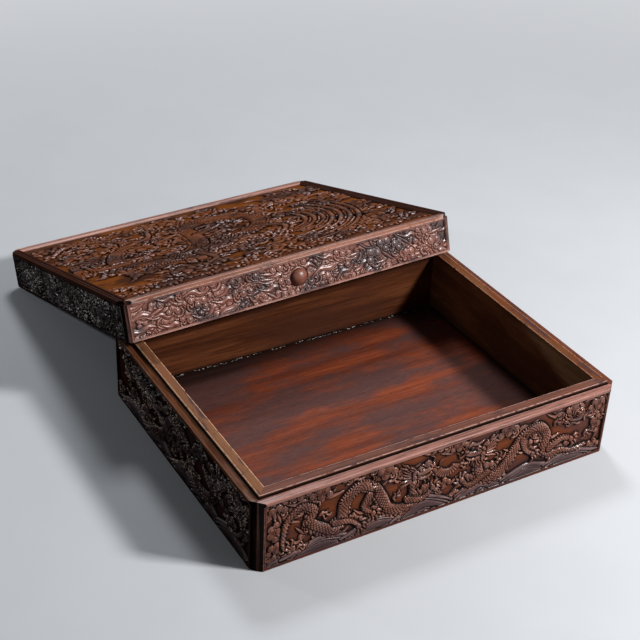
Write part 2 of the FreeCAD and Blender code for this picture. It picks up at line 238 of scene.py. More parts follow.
# %% Strokes, curls and mounds
def stroke(field, points, half, rise=1.5, start=0.3, finish=0.15, flutes=0, bevel=0.6):
    """A rounded band along a path: its half width swells from start to full and tapers to finish.
    flutes are grooves along it, a cosine of the offset over the width."""
    part, near, s, offset, length = field.follow(points, half + MARGIN)
    width = half * np.interp(s / length, [0, 0.25, 0.6, 1], [start, 1, 0.85, finish])
    q = np.clip(offset / np.maximum(width, 0.05), -1, 1)
    top = rise * (0.72 + 0.28 * rounded(q))
    if flutes:
        top = top * (0.82 + 0.18 * np.cos(q * np.pi * flutes))
    field.lay(part, width - near, top, bevel=min(bevel, half))


def curl(field, at, radius, rise, hand, turns=1.3):
    """A spiral volute: a disc with a groove along the spiral whose radius grows evenly with its
    angle. hand is 1 or -1, the way it winds."""
    part, du, dv = field.around(at, radius)
    r, angle = np.hypot(du, dv), np.arctan2(dv, du)
    phase = r * turns / radius - hand * angle / (2 * np.pi)
    groove = np.maximum(0, np.cos(2 * np.pi * phase)) ** 3
    dome = 0.78 + 0.22 * rounded(r / radius)
    field.lay(part, radius - r, rise * dome * (1 - 0.4 * groove * (r > 0.12 * radius)))


def blob(field, at, size, rise=1.5, angle=0.0, rings=0, bevel=0.7):
    """An oval mound, with rings of contour grooves if asked: a cosine of the scaled distance from
    its middle."""
    size = np.asarray(size, float) * np.ones(2)
    part, du, dv = field.around(at, size.max())
    a = (du * np.cos(angle) + dv * np.sin(angle)) / size[0]
    b = (dv * np.cos(angle) - du * np.sin(angle)) / size[1]
    r = np.hypot(a, b)
    top = rise * (0.7 + 0.3 * rounded(r))
    if rings:
        top = top * (0.84 + 0.16 * np.cos(2 * np.pi * rings * r))
    field.lay(part, (1 - r) * size.min(), top, bevel=bevel)


def dome(field, at, radius, rise=1.6):
    """A round puff: a half ball, a little flattened, that stands on a steep edge."""
    part, du, dv = field.around(at, radius)
    r = np.hypot(du, dv)
    top = rise * (0.62 + 0.38 * rounded(r / radius))
    field.lay(part, radius - r, top, bevel=min(0.45, 0.3 * radius), trench=0.9)


def fan(field, at, inner, outer, start, stop, count, rise=1.4):
    """Radial fluting between two radii and two angles: a cosine of the angle, rounded off at the
    rim."""
    part, du, dv = field.around(at, outer)
    r = np.hypot(du, dv)
    middle, half = (start + stop) / 2, (stop - start) / 2
    angle = (np.arctan2(dv, du) - middle + np.pi) % (2 * np.pi) - np.pi
    rays = np.abs(np.cos(np.pi * count * (angle + half) / (2 * half)))
    tip = outer - (1 - rays) * 0.14 * (outer - inner)
    edge = np.minimum(np.minimum(tip - r, r - inner), (half - np.abs(angle)) * r)
    field.lay(part, edge, rise * (0.45 + 0.55 * rays ** 0.7))


# %% [markdown]
# ## Clouds, waves and dragons
#
# The ornament is the traditional one of such boxes: ruyi cloud heads with curled lobes and
# streaming tails, rolling waves along the foot, and scaled dragons between them. Each motif is a
# short recipe of strokes, curls and mounds, so it can be drawn anywhere, at any size and turned
# either way, and no two places come out quite alike.

# %% A cloud head with its lobes, its scroll and its tails
SCROLL = [(0.0, -0.38), (0.33, -0.36), (0.56, -0.08), (0.47, 0.24), (0.2, 0.3), (0.08, 0.06),
          (0.25, -0.07), (0.35, 0.06)]


def lobes(field, centres, radii, rise, line=1.25):
    """A lobed mound, the union of discs. Its edge is a ridge, a sine of the distance inside the
    outline, with a groove behind it, and inside the groove each lobe swells into a dome of its
    own."""
    low, high = (centres - radii[:, None]).min(0), (centres + radii[:, None]).max(0)
    part, u, v = field.window(low - MARGIN, high + MARGIN)
    inside = (radii - np.hypot(u[..., None] - centres[:, 0], v[..., None] - centres[:, 1])).max(-1)
    swell = np.clip((inside - line) / (0.75 * (radii.mean() - line)), 0, 1)
    ridge = 0.6 + 0.3 * np.sin(np.pi * np.clip(inside / line, 0, 1))
    top = np.where(inside > line, 0.6 + 0.45 * np.sqrt(1 - (1 - swell) ** 2), ridge)
    field.lay(part, inside, rise * top, bevel=0.45)


def scroll(field, place, grown, shift, half, rise):
    """One band that swings out and rolls in on itself."""
    band = place(np.multiply(SCROLL, grown) + shift)
    stroke(field, band, half, rise, start=0.8, finish=0.75, bevel=0.5)


def tail(field, place, points, half, rise, flutes):
    """A fluted band that trails away from a cloud head."""
    stroke(field, place(points), half, rise, start=0.9, finish=0.2, flutes=flutes)


def cloud(field, at, size, angle=0.0, mirror=False, reach=1.0, rise=1.6):
    """Five lobes on an arc, with a scroll under one side, over fluted tails that sweep away to both
    sides."""
    place = placing(angle, size, at, mirror)
    longer = [(0.2, -0.1), (0.6, -0.34), (1.0, -0.2), (0.9 + 0.5 * reach, -0.34),
              (1.1 + 0.9 * reach, -0.12)]
    shorter = [(-0.2, -0.1), (-0.65, -0.32), (-0.9 - 0.5 * reach, -0.12)]
    tail(field, place, longer, 0.17 * size, rise * 0.8, flutes=2)
    tail(field, place, shorter, 0.14 * size, rise * 0.75, flutes=1)
    scroll(field, place, 0.7, (0.22, -0.3), 0.08 * size, rise * 0.9)
    lobes(field, place([(-0.52, -0.1), (-0.26, 0.2), (0.17, 0.24), (0.5, 0.0), (-0.02, -0.14)]),
          size * np.array([0.2, 0.25, 0.27, 0.21, 0.24]), rise)


def wisp(field, at, size, angle=0.0, mirror=False, rise=1.5):
    """Three lobes on a long fluted tail that ends in a scroll."""
    place = placing(angle, size, at, mirror)
    trailing = [(0.0, -0.1), (0.5, -0.3), (0.9, -0.08), (1.5, -0.2)]
    tail(field, place, trailing, 0.17 * size, rise * 0.85, flutes=2)
    scroll(field, place, (-0.75, 0.75), (-0.2, -0.1), 0.09 * size, rise * 0.9)
    lobes(field, place([(-0.22, 0.0), (0.1, 0.2), (0.38, -0.03)]),
          size * np.array([0.23, 0.26, 0.2]), rise)


def stream(field, at, size, angle=0.0, mirror=False, rise=1.4):
    """A long fluted ribbon of mist that waves as it runs."""
    ribbon = [(-1.4, -0.08), (-0.7, 0.16), (0.0, -0.06), (0.7, 0.14), (1.4, -0.1)]
    stroke(field, turned(ribbon, 0.4 * angle, size, at, mirror), 0.2 * size, rise,
           start=0.2, finish=0.2, flutes=2)


# %% Waves along the foot of a board
def waves(field, crests, rise=1.3, pitch=1.6, foam=0.0):
    """Rolling mounds, back row first: each is an oval with contour lines near its rim and a smooth
    top. Foam is a row of small puffs along the crest, the middle one larger."""
    for u, v, wide, high in crests:
        part, gu, gv = field.window((u - wide - MARGIN, v - high - MARGIN),
                                    (u + wide + MARGIN, v + high + MARGIN))
        r = np.hypot((gu - u) / wide, (gv - v) / high)
        inside = (1 - r) * high
        lines = np.where(inside < 2.6 * pitch, 0.8 + 0.2 * np.cos(2 * np.pi * inside / pitch), 1.0)
        field.lay(part, inside, rise * lines * (0.8 + 0.2 * rounded(r)), bevel=0.8)
        for lean, grown in ((2.5, 1), (2.1, 1), (1.57, 1.25), (1.0, 1), (0.65, 1)) if foam else ():
            puff = (u + wide * np.cos(lean), v + high * np.sin(lean))
            dome(field, puff, foam * grown, rise + 0.3)


def swells(field, starts, rise=1.4):
    """Long low waves that climb from the foot, bend over and run out: three bands side by side
    along one curve. Each is given by the u and v of its start, its reach along the board and its
    height."""
    for u, v, reach, high in starts:
        for k, half in enumerate((2.6, 2.2, 3.6)):
            low = 3.1 * k
            stroke(field, [(u, v - low), (u + 0.25 * reach, v + 0.35 * high - low),
                           (u + 0.55 * reach, v + high - low), (u + 0.8 * reach, v + 0.8 * high - low),
                           (u + reach + np.sign(reach) * 4, v + 0.25 * high - low)],
                   half, rise - 0.12 * k, start=0.3, finish=0.3)


# %% A dragon's body, legs and head
def scales(s, offset, along, across):
    """Round scales in staggered rows: domes on two square lattices half a step apart, that just
    touch."""
    def domes(a, b):
        return 1 - 4 * ((a - np.round(a)) ** 2 + (b - np.round(b)) ** 2)
    a, b = s / along, offset / across
    return np.clip(np.maximum(domes(a, b), domes(a + 0.5, b + 0.5)), 0, 1)


def dragon_body(field, points, width, fins=1, rise=2.1, pitch=3.3, taper=(0.75, 1.0, 0.9, 0.3)):
    """A scaled tube with a comb of fins along its back and ribs across its belly. The crown is a
    half circle of the offset, the fins are a sawtooth of the arc length outside it, and the ribs
    are a cosine of the arc length. fins is 1 or -1, the side that the back is on."""
    fin_high, fin_pitch = 0.26 * width, 0.36 * width
    part, near, s, offset, length = field.follow(points, width / 2 + fin_high + MARGIN)
    half = width / 2 * np.interp(s / length, [0, 0.2, 0.65, 1], taper)
    saw = (s / fin_pitch) % 1
    back = offset * fins > 0
    fin = np.where(back, fin_high * (1 - np.abs(2 * saw - 1)) ** 0.8 * half / (width / 2), 0)
    q = np.clip(offset / half, -1, 1)
    crown = 0.42 + 0.58 * rounded(q)
    hide = crown * (0.22 + 0.78 * scales(s, offset, pitch, pitch * 0.9) ** 0.6)
    belly = crown * (0.62 + 0.38 * np.cos(2 * np.pi * s / (0.55 * pitch)))
    top = np.where(q * fins < -0.66, belly, hide)
    top = np.where(near > half, 0.62, top)
    seam = np.clip(1 - np.abs(near - half) / 0.5, 0, 1) * back
    field.lay(part, half + fin - near, rise * top * (1 - 0.6 * seam), bevel=0.6, trench=MARGIN)


TOE = [(0, 0), (0.45, 0.12), (0.85, 0.05), (1.1, -0.22)]


def legs(field, limbs, rise=1.7, toes=4, spread=2.0):
    """Short scaled limbs, each given by its points and its width, that end in a fan of hooked
    toes."""
    for points, width in limbs:
        path, _ = smooth_path(points)
        heading = np.arctan2(*(path[-1] - path[-6])[::-1])
        for k in range(toes):
            lean = heading + spread * (k / (toes - 1) - 0.5)
            toe = turned(TOE, lean, width * 1.15, path[-1])
            stroke(field, toe, 0.24 * width, rise, start=0.9, finish=0.15)
        dragon_body(field, points, width, rise=rise * 1.05, pitch=2.6, taper=(1.1, 0.95, 0.7, 0.6))
        blob(field, path[-1], 0.42 * width, rise)


def dragon_head(field, at, size, angle=0.0, mirror=False, rise=1.8):
    """A head of strokes: swept mane and horns, open jaws, a browed eye and long whiskers. It faces
    +u."""
    place = placing(angle, size, at, mirror)
    hand = -1 if mirror else 1

    def line(points, half, start=0.3, finish=0.1, high=0.9):
        stroke(field, place(points), half * size, rise * high, start, finish)
    for k in range(7):
        lean = -0.5 + 0.26 * k
        line([(-0.15, 0.02 + 0.07 * (k - 3)), (-0.55, lean * 0.62), (-0.85, lean * 0.9 + 0.1),
              (-1.15 + 0.05 * k, lean + 0.02)], 0.065, 0.9)
    line([(0.0, -0.18), (0.05, -0.5), (-0.12, -0.75), (-0.05, -1.0)], 0.07)
    line([(-0.05, 0.3), (-0.3, 0.55), (-0.62, 0.62), (-0.95, 0.82)], 0.07, 0.9, 0.3)
    line([(-0.45, 0.6), (-0.55, 0.78), (-0.72, 0.9)], 0.05, 0.9, 0.2)
    line([(0.0, -0.2), (0.3, -0.38), (0.62, -0.36), (0.82, -0.22)], 0.11, 0.9, 0.5)
    line([(0.35, -0.45), (0.45, -0.68), (0.36, -0.85)], 0.045)
    line([(0.55, -0.42), (0.68, -0.62), (0.62, -0.8)], 0.045)
    blob(field, place([(0.02, 0.06)])[0], (0.34 * size, 0.3 * size), rise, angle)
    line([(0.1, 0.02), (0.45, -0.02), (0.85, 0.06), (0.98, 0.2)], 0.17, 1.0, 0.7)
    curl(field, place([(0.92, 0.2)])[0], 0.15 * size, rise, -hand)
    curl(field, place([(-0.16, -0.14)])[0], 0.17 * size, rise, hand)
    line([(0.02, 0.3), (0.2, 0.36), (0.42, 0.24)], 0.075, 0.5, 0.3, high=1.0)
    blob(field, place([(0.2, 0.17)])[0], 0.085 * size, rise, bevel=0.4)
    line([(0.95, 0.06), (1.25, -0.1), (1.4, 0.2), (1.75, 0.3)], 0.04, 0.7)
    line([(0.9, 0.3), (1.05, 0.6), (0.8, 0.85), (0.95, 1.1)], 0.04, 0.7)


def flame(field, at, size, angle, mirror=False, rise=1.4):
    """Three licking tongues from one root."""
    for lean, reach in ((-0.5, 0.75), (0.0, 1.0), (0.45, 0.7)):
        tongue = [(0, 0), (0.35 * reach, 0.1), (0.7 * reach, -0.06), (reach, 0.12)]
        stroke(field, turned(tongue, angle + lean, size, at, mirror), 0.09 * size, rise,
               start=0.9, finish=0.05)


def flames(field, roots):
    """Flames given by the u and v of their root, their size and their lean."""
    for u, v, size, lean in roots:
        flame(field, (u, v), size, lean)


# %% [markdown]
# ## Laying out the carved faces
#
# Two dragons face each other over the waves on the long boards, as on most boxes of this kind, and
# one follows a pearl on the short ones. A bed of clouds is drawn first, all over, and then the
# waves, bodies, limbs and heads on top of it, so that the clouds seem to pass behind and the ground
# shows only in patches. The points are a layout in millimetres from the board's middle and its
# foot.

# %% A bed of clouds
FACE_PITCH = 0.43
FOOT_BORDER, HEAD_BORDER, END_BORDER = 3.0, 54.4, 9.2
BODY, SCALE = 8.8, 3.0


def cloud_bed(field, across, up, size, seed, bare=(), reach=0.8, share=1.0, last=flame):
    """Clouds on a staggered lattice, each moved, turned and sized by chance, and only a share of
    them carved. bare holds (u, v, radius) to leave open, and last is the rarer motif that stands
    among them."""
    chance = np.random.default_rng(seed)
    for row, v in enumerate(np.arange(field.v[0] + 0.45 * up, field.v[-1], up)):
        for u in np.arange(field.u[0] + (0.35 + 0.5 * (row % 2)) * across, field.u[-1], across):
            spot = np.array([u, v]) + chance.uniform(-0.2, 0.2, 2) * (across, up)
            lean, grown = chance.normal(0, 0.4), chance.uniform(0.8, 1.2)
            mirror = chance.random() < 0.5
            pick, spared = chance.random(), chance.random() > share
            if spared or any(np.hypot(*(spot - b[:2])) < b[2] for b in bare):
                continue
            if pick < 0.55:
                cloud(field, spot, size * grown, lean, mirror, reach=reach)
            elif pick < 0.85:
                wisp(field, spot, size * grown, lean, mirror)
            else:
                last(field, spot, size * grown, lean, mirror)


def face_field(length):
    """The empty field of a wall's carved face."""
    return Field(length - 2 * END_BORDER, HEAD_BORDER - FOOT_BORDER, FACE_PITCH, low=FOOT_BORDER)


def surf(field, middles, starts):
    """Mounds and long swells along the foot. Returns a function that, when the rest is carved,
    marks as water what they changed and nothing has covered since."""
    dry = field.h.copy()
    waves(field, [(u, -3, 14, 9 + 1.5 * np.sin(u)) for u in middles])
    swells(field, starts)
    wet = field.h.copy()

    def mark():
        field.water = (wet != dry) & (field.h == wet)
    return mark


# %% Carve the long boards
def long_carving(seed):
    """Two dragons with their loops over a row of long waves, and patches of bare ground between
    them."""
    field = face_field(BOX_LENGTH)
    cloud_bed(field, 18, 11.5, 10.5, seed, share=0.62,
              bare=[(1, 38, 10), (-80, 30, 9), (-112, 32, 8), (-45, 38, 9), (70, 26, 8), (96, 26, 8)])
    for u, v, size, lean, mirror in (
            (-133, 46, 12, 0.1, False), (-134, 30, 12, 1.6, True), (-133, 15, 11, 0.2, False),
            (-100, 49, 13, -0.1, True), (-50, 48, 14, 0.0, False), (52, 49, 13, 0.1, False),
            (112, 48, 13, -0.2, True), (133, 46, 13, 0.2, True), (134, 29, 12, 1.4, False),
            (10, 50, 11, 0.0, False)):
        cloud(field, (u, v), size, lean, mirror)
    mark_water = surf(field, range(-132, 140, 19),
                      ((-130, 4, 52, 7), (-84, 4, 50, 8), (-44, 3, 46, 12),
                       (60, 3, -46, 12), (100, 4, -46, 7), (140, 4, -48, 6)))
    fan(field, (1, 39), 5, 12, -2.75, -0.4, 11)
    left = [(-119, 10), (-127, 13), (-128, 22), (-125, 36), (-115, 44), (-105, 38), (-108, 29),
            (-98, 20), (-89, 15), (-83, 24), (-81, 37), (-70, 45), (-59, 40), (-52, 29), (-46, 17),
            (-34, 12.5), (-27, 20), (-27, 32)]
    right = [(126, 13), (114, 11.5), (103, 15), (93, 15), (86, 22), (88, 33), (80, 43.5), (68, 42),
             (60, 32), (52, 19), (42, 13), (32, 17), (28, 28), (31, 36)]
    for body, fins in ((left, 1), (right, -1)):
        dragon_body(field, body[::-1], BODY, fins=fins, pitch=SCALE)
    legs(field, (([(-62, 34), (-66, 25), (-58, 17)], 5.8), ([(-88, 20), (-76, 17), (-69, 10)], 5.6),
                 ([(-30, 18), (-18, 15), (-10, 22)], 5.8), ([(92, 20), (103, 25), (112, 22)], 5.8),
                 ([(66, 36), (70, 26), (77, 20)], 5.6), ([(36, 18), (22, 12), (15, 19)], 5.8)))
    flames(field, ((-119, 12, 11, 2.4), (-117, 9, 10, 0.2), (-57, 42, 10, 2.0), (122, 36, 13, 0.9),
                   (124, 22, 11, 0.2), (112, 44, 11, 0.6), (94, 40, 10, 0.8), (-41, 22, 10, 1.2),
                   (48, 26, 10, 2.2)))
    dragon_head(field, (-24, 38), 14, angle=0.1)
    dragon_head(field, (29, 39), 14, angle=-0.1, mirror=True)
    mark_water()
    return field


# %% Carve the short boards
def short_carving(seed):
    """One dragon after a flaming pearl, over waves."""
    field = face_field(BOX_WIDTH)
    cloud_bed(field, 18, 11.5, 11, seed, share=0.75,
              bare=[(-86, 34, 9), (30, 34, 7), (-38, 26, 6), (70, 26, 6)])
    mark_water = surf(field, range(-104, 110, 19),
                      ((-106, 4, 48, 8), (-64, 4, 48, 10), (-20, 3, 46, 9),
                       (68, 4, -46, 11), (110, 4, -46, 8)))
    body = [(-58, 34), (-56, 22), (-44, 14), (-28, 19), (-18, 34), (-4, 44.5), (12, 38), (22, 21),
            (38, 13), (54, 19), (62, 34), (76, 43.5), (92, 36), (98, 22), (90, 13), (78, 13)]
    dome(field, (-86, 34), 4.8, 2.1)
    for lean in 0.6 + np.arange(5):
        flame(field, (-86 + 4 * np.cos(lean), 34 + 4 * np.sin(lean)), 9, lean)
    dragon_body(field, body, BODY, fins=-1, pitch=SCALE)
    legs(field, [(limb, 5.8) for limb in (
        [(-50, 18), (-66, 14), (-76, 20)], [(-22, 26), (-34, 32), (-40, 40)],
        [(14, 34), (4, 26), (6, 16)], [(56, 22), (44, 30), (38, 40)],
        [(90, 34), (80, 28), (78, 20)])])
    flames(field, ((-10, 42, 10, 1.9), (20, 28, 9, 0.4), (64, 40, 9, 2.2), (98, 34, 9, 0.6),
                   (30, 46, 10, 0.3)))
    dragon_head(field, (-62, 40), 14, angle=-0.1, mirror=True)
    mark_water()
    return field


# %% Carve the lid's aprons
APRON_FOOT, APRON_TOP, APRON_END = 2.0, 27.6, 6.6


def apron_carving(length, seed, pearl=False):
    """Clouds in two staggered rows with their tails run together, and bare ground round the pearl's
    foot."""
    field = Field(length - 2 * APRON_END, APRON_TOP - APRON_FOOT, FACE_PITCH, low=APRON_FOOT)
    bare = [(0, PEARL_HEIGHT, 8.5)] if pearl else []
    cloud_bed(field, 14, 7.5, 11, seed, bare, reach=1.1, last=stream)
    cloud_bed(field, 20, 10.0, 14.0, seed + 1, bare, reach=1.1, last=stream)
    if pearl:
        blob(field, (0, PEARL_HEIGHT), 7.6, 1.0, rings=2)
    return field


# %% Carve the lid's panel
PANEL_PITCH = 0.58
PANEL_HALF_LENGTH, PANEL_HALF_WIDTH = 140.0, 108.0


def panel_carving():
    """A great dragon coiled among clouds, with surf along the front and arcs of running water round
    the right. The arcs are parts of circles, each wider than the last. The finished relief is a
    little softened, because a lid's top is worn by hands all over."""
    field = Field(2 * PANEL_HALF_LENGTH, 2 * PANEL_HALF_WIDTH, PANEL_PITCH,
                  low=-PANEL_HALF_WIDTH)
    cloud_bed(field, 23, 14, 12, 21,
              bare=[(-130, -52, 20), (-112, -66, 16), (64, 96, 20), (-60, 62, 12)])
    cloud_bed(field, 37, 23, 17, 22, share=0.75,
              bare=[(-130, -52, 22), (-112, -66, 18), (64, 96, 20)])
    for k in range(7):
        turn = np.linspace(0.55 - 0.1 * (k % 2), -1.75 + 0.15 * (k % 3), 9)
        reach = 38 + 7.8 * k
        arc = np.column_stack([38 + 0.97 * reach * np.cos(turn), 2 + reach * np.sin(turn)])
        stroke(field, arc, 2.9, 1.15, start=0.15, finish=0.12, flutes=1)
    rear = [(u, -101, 17, 12 + 3 * np.sin(u)) for u in range(-126, 145, 26)]
    near = [(u, -108, 18, 11 + 2 * np.cos(u)) for u in range(-140, 145, 29)]
    waves(field, rear, pitch=2.4, foam=2.0)
    waves(field, near, pitch=2.4, foam=2.2)
    body = [(2, -14), (20, -6), (38, 10), (46, 34), (34, 56), (8, 62), (-14, 48), (-20, 20),
            (-30, -12), (-54, -34), (-84, -32), (-102, -8), (-94, 20), (-76, 38), (-72, 60),
            (-88, 80), (-112, 84), (-128, 68)]
    dragon_body(field, body, 16, fins=-1, pitch=4.0)
    legs(field, [(limb, 7.5) for limb in (
        [(34, 4), (48, -16), (38, -34)], [(-16, 22), (4, 30), (18, 40)],
        [(-44, -34), (-40, -58), (-56, -72)], [(-98, -14), (-122, -10), (-126, 8)],
        [(-78, 38), (-50, 50), (-40, 72)])])
    flames(field, ((-22, 44, 18, 2.0), (50, 42, 20, 0.6), (-110, 4, 18, 2.6), (-30, -26, 18, 0.2),
                   (-82, 84, 18, 1.4), (44, -2, 16, 0.3), (-62, -40, 16, 2.0), (-6, 66, 16, 1.8)))
    dragon_head(field, (-10, -24), 24, angle=0.3, mirror=True)
    cloud(field, (118, -56), 20, 0.5)
    cloud(field, (104, 70), 22, -0.3, True)
    field.h, field.crisp = softened(field.h, 0.8), 1.2
    return field


# %% [markdown]
# ## What the years do to a carving, and the light and shade painted on it
#
# The recesses are painted nearly black, for dark wax and dust and the shade that falls in them, the
# flat ground shows the wood's own orange-brown, the waves are tinted grey as a painted sheen, and
# the tops are rubbed lighter, with a painted highlight, and glossier by hands. All of it can be read
# from the field: a point lower than its neighbourhood is a recess, one that is higher is a crest,
# and the waves were marked when they were carved. A fifth map tells the plain borders from the
# carving.
# They are kept on the mesh as attributes, for the finish.

# %% Wear, painted shade and painted highlight, from the heights
CLOSE_CELLS, WIDE = 1.7, 2.2


def wear_and_shade_maps(field):
    """Maps from 0 to 1. recess and crest compare a height with its surroundings, close by and
    within a few millimetres. ground is low and has nothing high beside it. plain is 0, because a
    carving isn't plain wood."""
    pitch = field.u[1] - field.u[0]
    close, wide = softened(field.h, CLOSE_CELLS), softened(field.h, WIDE / pitch)
    return {"recess": np.clip(2.3 * (close - field.h) + 1.3 * (wide - field.h), 0, 1),
            "crest": np.clip(field.crisp * (field.h - close) + 0.55 * (field.h - wide), 0, 1),
            "ground": np.clip(1 - 2.2 * wide, 0, 1) * np.clip(1 - field.h / 0.3, 0, 1),
            "water": softened(field.water, 1.0), "plain": 0 * field.h}


# %% [markdown]
# ## From a cross-section to a board
#
# Every board of the box is one cross-section carried along its length, mitred at its ends, and on
# the outer boards the corner is canted as well. So one function makes them all: the section is a
# closed loop of points, the columns stand along the board, and the last column lies on the mitre
# and on the canted face. On a carved board the rows of the field are part of the section, and its
# heights push them outwards.

# %% A mesh from points and faces
def tube(wide, tall):
    """Numbers for a grid's points, column after column, and the faces between them, closed round
    each column."""
    index = np.arange(wide * tall).reshape(wide, tall)
    around = np.roll(index, -1, axis=1)
    return index, np.stack([index[:-1], index[1:], around[1:], around[:-1]], -1).reshape(-1, 4)


def outward(points, quads, caps):
    """The faces, all reversed if the volume they enclose, the sum of their corner products, is
    negative."""
    fans = [np.column_stack([np.full(len(c) - 2, c[0]), c[1:-1], c[2:]]) for c in caps]
    triangles = np.vstack([quads[:, [0, 1, 2]], quads[:, [0, 2, 3]]] + fans)
    a, b, c = (points[triangles[:, k]] for k in range(3))
    if np.einsum("ij,ij->i", a - points[0], np.cross(b - points[0], c - points[0])).sum() < 0:
        return quads[:, ::-1], [cap[::-1] for cap in caps]
    return quads, caps


def add_mesh(name, points, quads, caps, attributes, hard_lines=None):
    """Writes points, four-cornered faces, end caps and attributes into a mesh, turned outwards.
    hard_lines, for a grid, tells which of its rows and which of its columns are sharp edges."""
    quads, caps = outward(points, quads, caps)
    corners = np.concatenate([quads.ravel()] + list(caps)).astype(np.int32)
    counts = np.r_[np.full(len(quads), 4), [len(cap) for cap in caps]].astype(np.int32)
    mesh = bpy.data.meshes.new(name)
    mesh.vertices.add(len(points))
    mesh.vertices.foreach_set("co", (points * MM).astype(np.float32).ravel())
    mesh.loops.add(len(corners))
    mesh.loops.foreach_set("vertex_index", corners)
    mesh.polygons.add(len(counts))
    mesh.polygons.foreach_set("loop_start", np.r_[0, np.cumsum(counts)[:-1]].astype(np.int32))
    mesh.update(calc_edges=True)
    mesh.validate()
    for key, values in attributes.items():
        kind, kept_as = ("FLOAT_VECTOR", "vector") if values.ndim == 2 else ("FLOAT", "value")
        layer = mesh.attributes.new(key, kind, "POINT")
        layer.data.foreach_set(kept_as, values.astype(np.float32).ravel())
    mesh.shade_smooth()
    if hard_lines is not None:
        rows, columns = hard_lines
        edges = np.empty(2 * len(mesh.edges), np.int32)
        mesh.edges.foreach_get("vertices", edges)
        ends = edges.reshape(-1, 2).T
        (column, row), (next_column, next_row) = (np.divmod(end, len(rows)) for end in ends)
        hard = ((row == next_row) & rows[row]) | ((column == next_column) & columns[column])
        layer = mesh.attributes.new("sharp_edge", "BOOLEAN", "EDGE")
        layer.data.foreach_set("value", hard)
    piece = bpy.data.objects.new(name, mesh)
    bpy.context.scene.collection.objects.link(piece)
    return piece


# %% Helpers that place, crease and name a piece
def settle(points, where, on_lid):
    """Turns a board drawn along x to its side of the box, and lays the lid's boards where the lid
    lies."""
    angle, _, across = SIDES[where]
    cos, sin = np.cos(np.radians(angle)), np.sin(np.radians(angle))
    x, y = points[:, 0], points[:, 1] - across / 2
    placed = np.column_stack([x * cos - y * sin, x * sin + y * cos, points[:, 2]])
    return laid_on_lid(placed) if on_lid else placed


def section_and_wear(points):
    """Splits (y, z) or (y, z, wear) points. Wear runs from -1, painted nearly black for old wax and
    the shade in a corner, through 1, rubbed, to 2, bare and pale, which also stands for a highlight."""
    rubbed = np.array([p[2] if len(p) > 2 else 0.0 for p in points])
    return np.array([p[:2] for p in points], float), rubbed


def corner_is_hard(section, k, limit=32):
    """Whether the section turns by more than the limit, in degrees, at one of its points."""
    before, after = section[k] - section[k - 1], section[(k + 1) % len(section)] - section[k]
    turn = np.arctan2(before[0] * after[1] - before[1] * after[0], before @ after)
    return abs(np.degrees(turn)) > limit


def first_and_last(count):
    """True for the first and the last of a number of lines."""
    return np.isin(np.arange(count), (0, count - 1))


def dress(piece, body, slot_name, finish, *nodes):
    """Gives a piece its finish, its body and the solid that it stands for, and counts its
    triangles."""
    piece.data.materials.append(finish)
    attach(piece, body)
    if nodes:
        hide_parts(*nodes)
    print(piece.name, "has", len(piece.data.loops) - 2 * len(piece.data.polygons), "triangles")


# %% Columns along a board
MAPS = ("recess", "crest", "ground", "water", "plain")
TINY = 1e-6
EASE = 0.45                             # how far the arris of a canted corner is planed back
# How pale the canted corner's arris is painted: rubbed bare, and a painted highlight.
ARRIS_PALENESS = {"box": 1.1, "lid": 1.6}   # how bare it is rubbed
# The line between a carved field and the plain border at its end, as three columns of points:
# how far outside the field each stands, how deep it is sunk, how dark it is painted, for old wax and
# the shade in the groove, and its rubbing.
END_LINE = ((0.95, 0.0, 0.45, 0.1), (0.6, 0.3, 1.0, 0.0), (0.3, 0.0, 0.0, 0.7))


def board_grid(y, rubbed, half, cant, inner, carved, arris_paleness):
    """x, depth and wear of all points of a board, each column a copy of the section, and how many
    columns stand outside the inner ones at each end. At depth y the board ends at half - y, on the
    mitre, or at half - cant + y on the canted face, whichever is shorter. The canted face's arris
    is eased."""
    on_cant = y < cant / 2 - TINY
    end = np.where(on_cant, half - cant + y, half - y)
    eased_y = np.where(y < cant / 2 - EASE - TINY, y + EASE, y)
    outer = [-end]
    if cant:
        outer = [-np.where(on_cant, half - cant + eased_y, half - y),
                 -(end - EASE * on_cant - 0.05 * ~on_cant)]
    if carved:
        outer += [np.full_like(y, -(inner[-1] + outside)) for outside, *_ in END_LINE]
    middle = [np.full_like(y, u) for u in inner]
    x = np.vstack(outer + middle + [-column for column in outer[::-1]])
    deep = np.tile(y, (len(x), 1))
    maps = {key: np.zeros_like(deep) for key in MAPS}
    maps["plain"] += 1
    maps["recess"] += np.clip(-rubbed, 0, 1)
    maps["crest"] += np.maximum(rubbed, 0)
    if cant:
        deep[[0, -1]] = eased_y
        # The canted face is painted nearly black as shade, and its arrises pale as a painted highlight.
        maps["recess"][[0, -1]] += 0.95 * on_cant
        maps["crest"][[1, -2]] = np.maximum(maps["crest"][[1, -2]], arris_paleness * on_cant)
    return x, deep, maps, len(outer)


def carve(deep, maps, field, first, rows):
    """Puts a field into a board's grid, from column first on and in the rows between two numbers. A
    height h stands at depth GROUND_Y - h. The field's own rim stays level with the border, and the
    points beside it are painted as dark as their drop from the rim, as the shade under the border."""
    lines = slice(*rows)
    block = (slice(first, first + len(field.u)), lines)
    worn, heights = wear_and_shade_maps(field), field.h.copy()
    heights[[0, -1]] = heights[:, [0, -1]] = DEPTH_OF_CARVING
    deep[block] = GROUND_Y - heights
    for key in maps:
        maps[key][block] = worn[key]
        maps[key][block][[0, -1]] = key == "plain"
    drop = np.clip(DEPTH_OF_CARVING - field.h, 0, 1)
    for beside in (np.s_[1, :], np.s_[-2, :], np.s_[:, 1], np.s_[:, -2]):
        maps["recess"][block][beside] = np.maximum(worn["recess"][beside], drop[beside])
    for k, (_, sunk, wax_and_shade, rubbing) in enumerate(END_LINE, start=first - len(END_LINE)):
        for column in (k, -1 - k):
            deep[column, lines] += sunk
            maps["recess"][column, lines] = wax_and_shade
            maps["crest"][column, lines] = rubbing


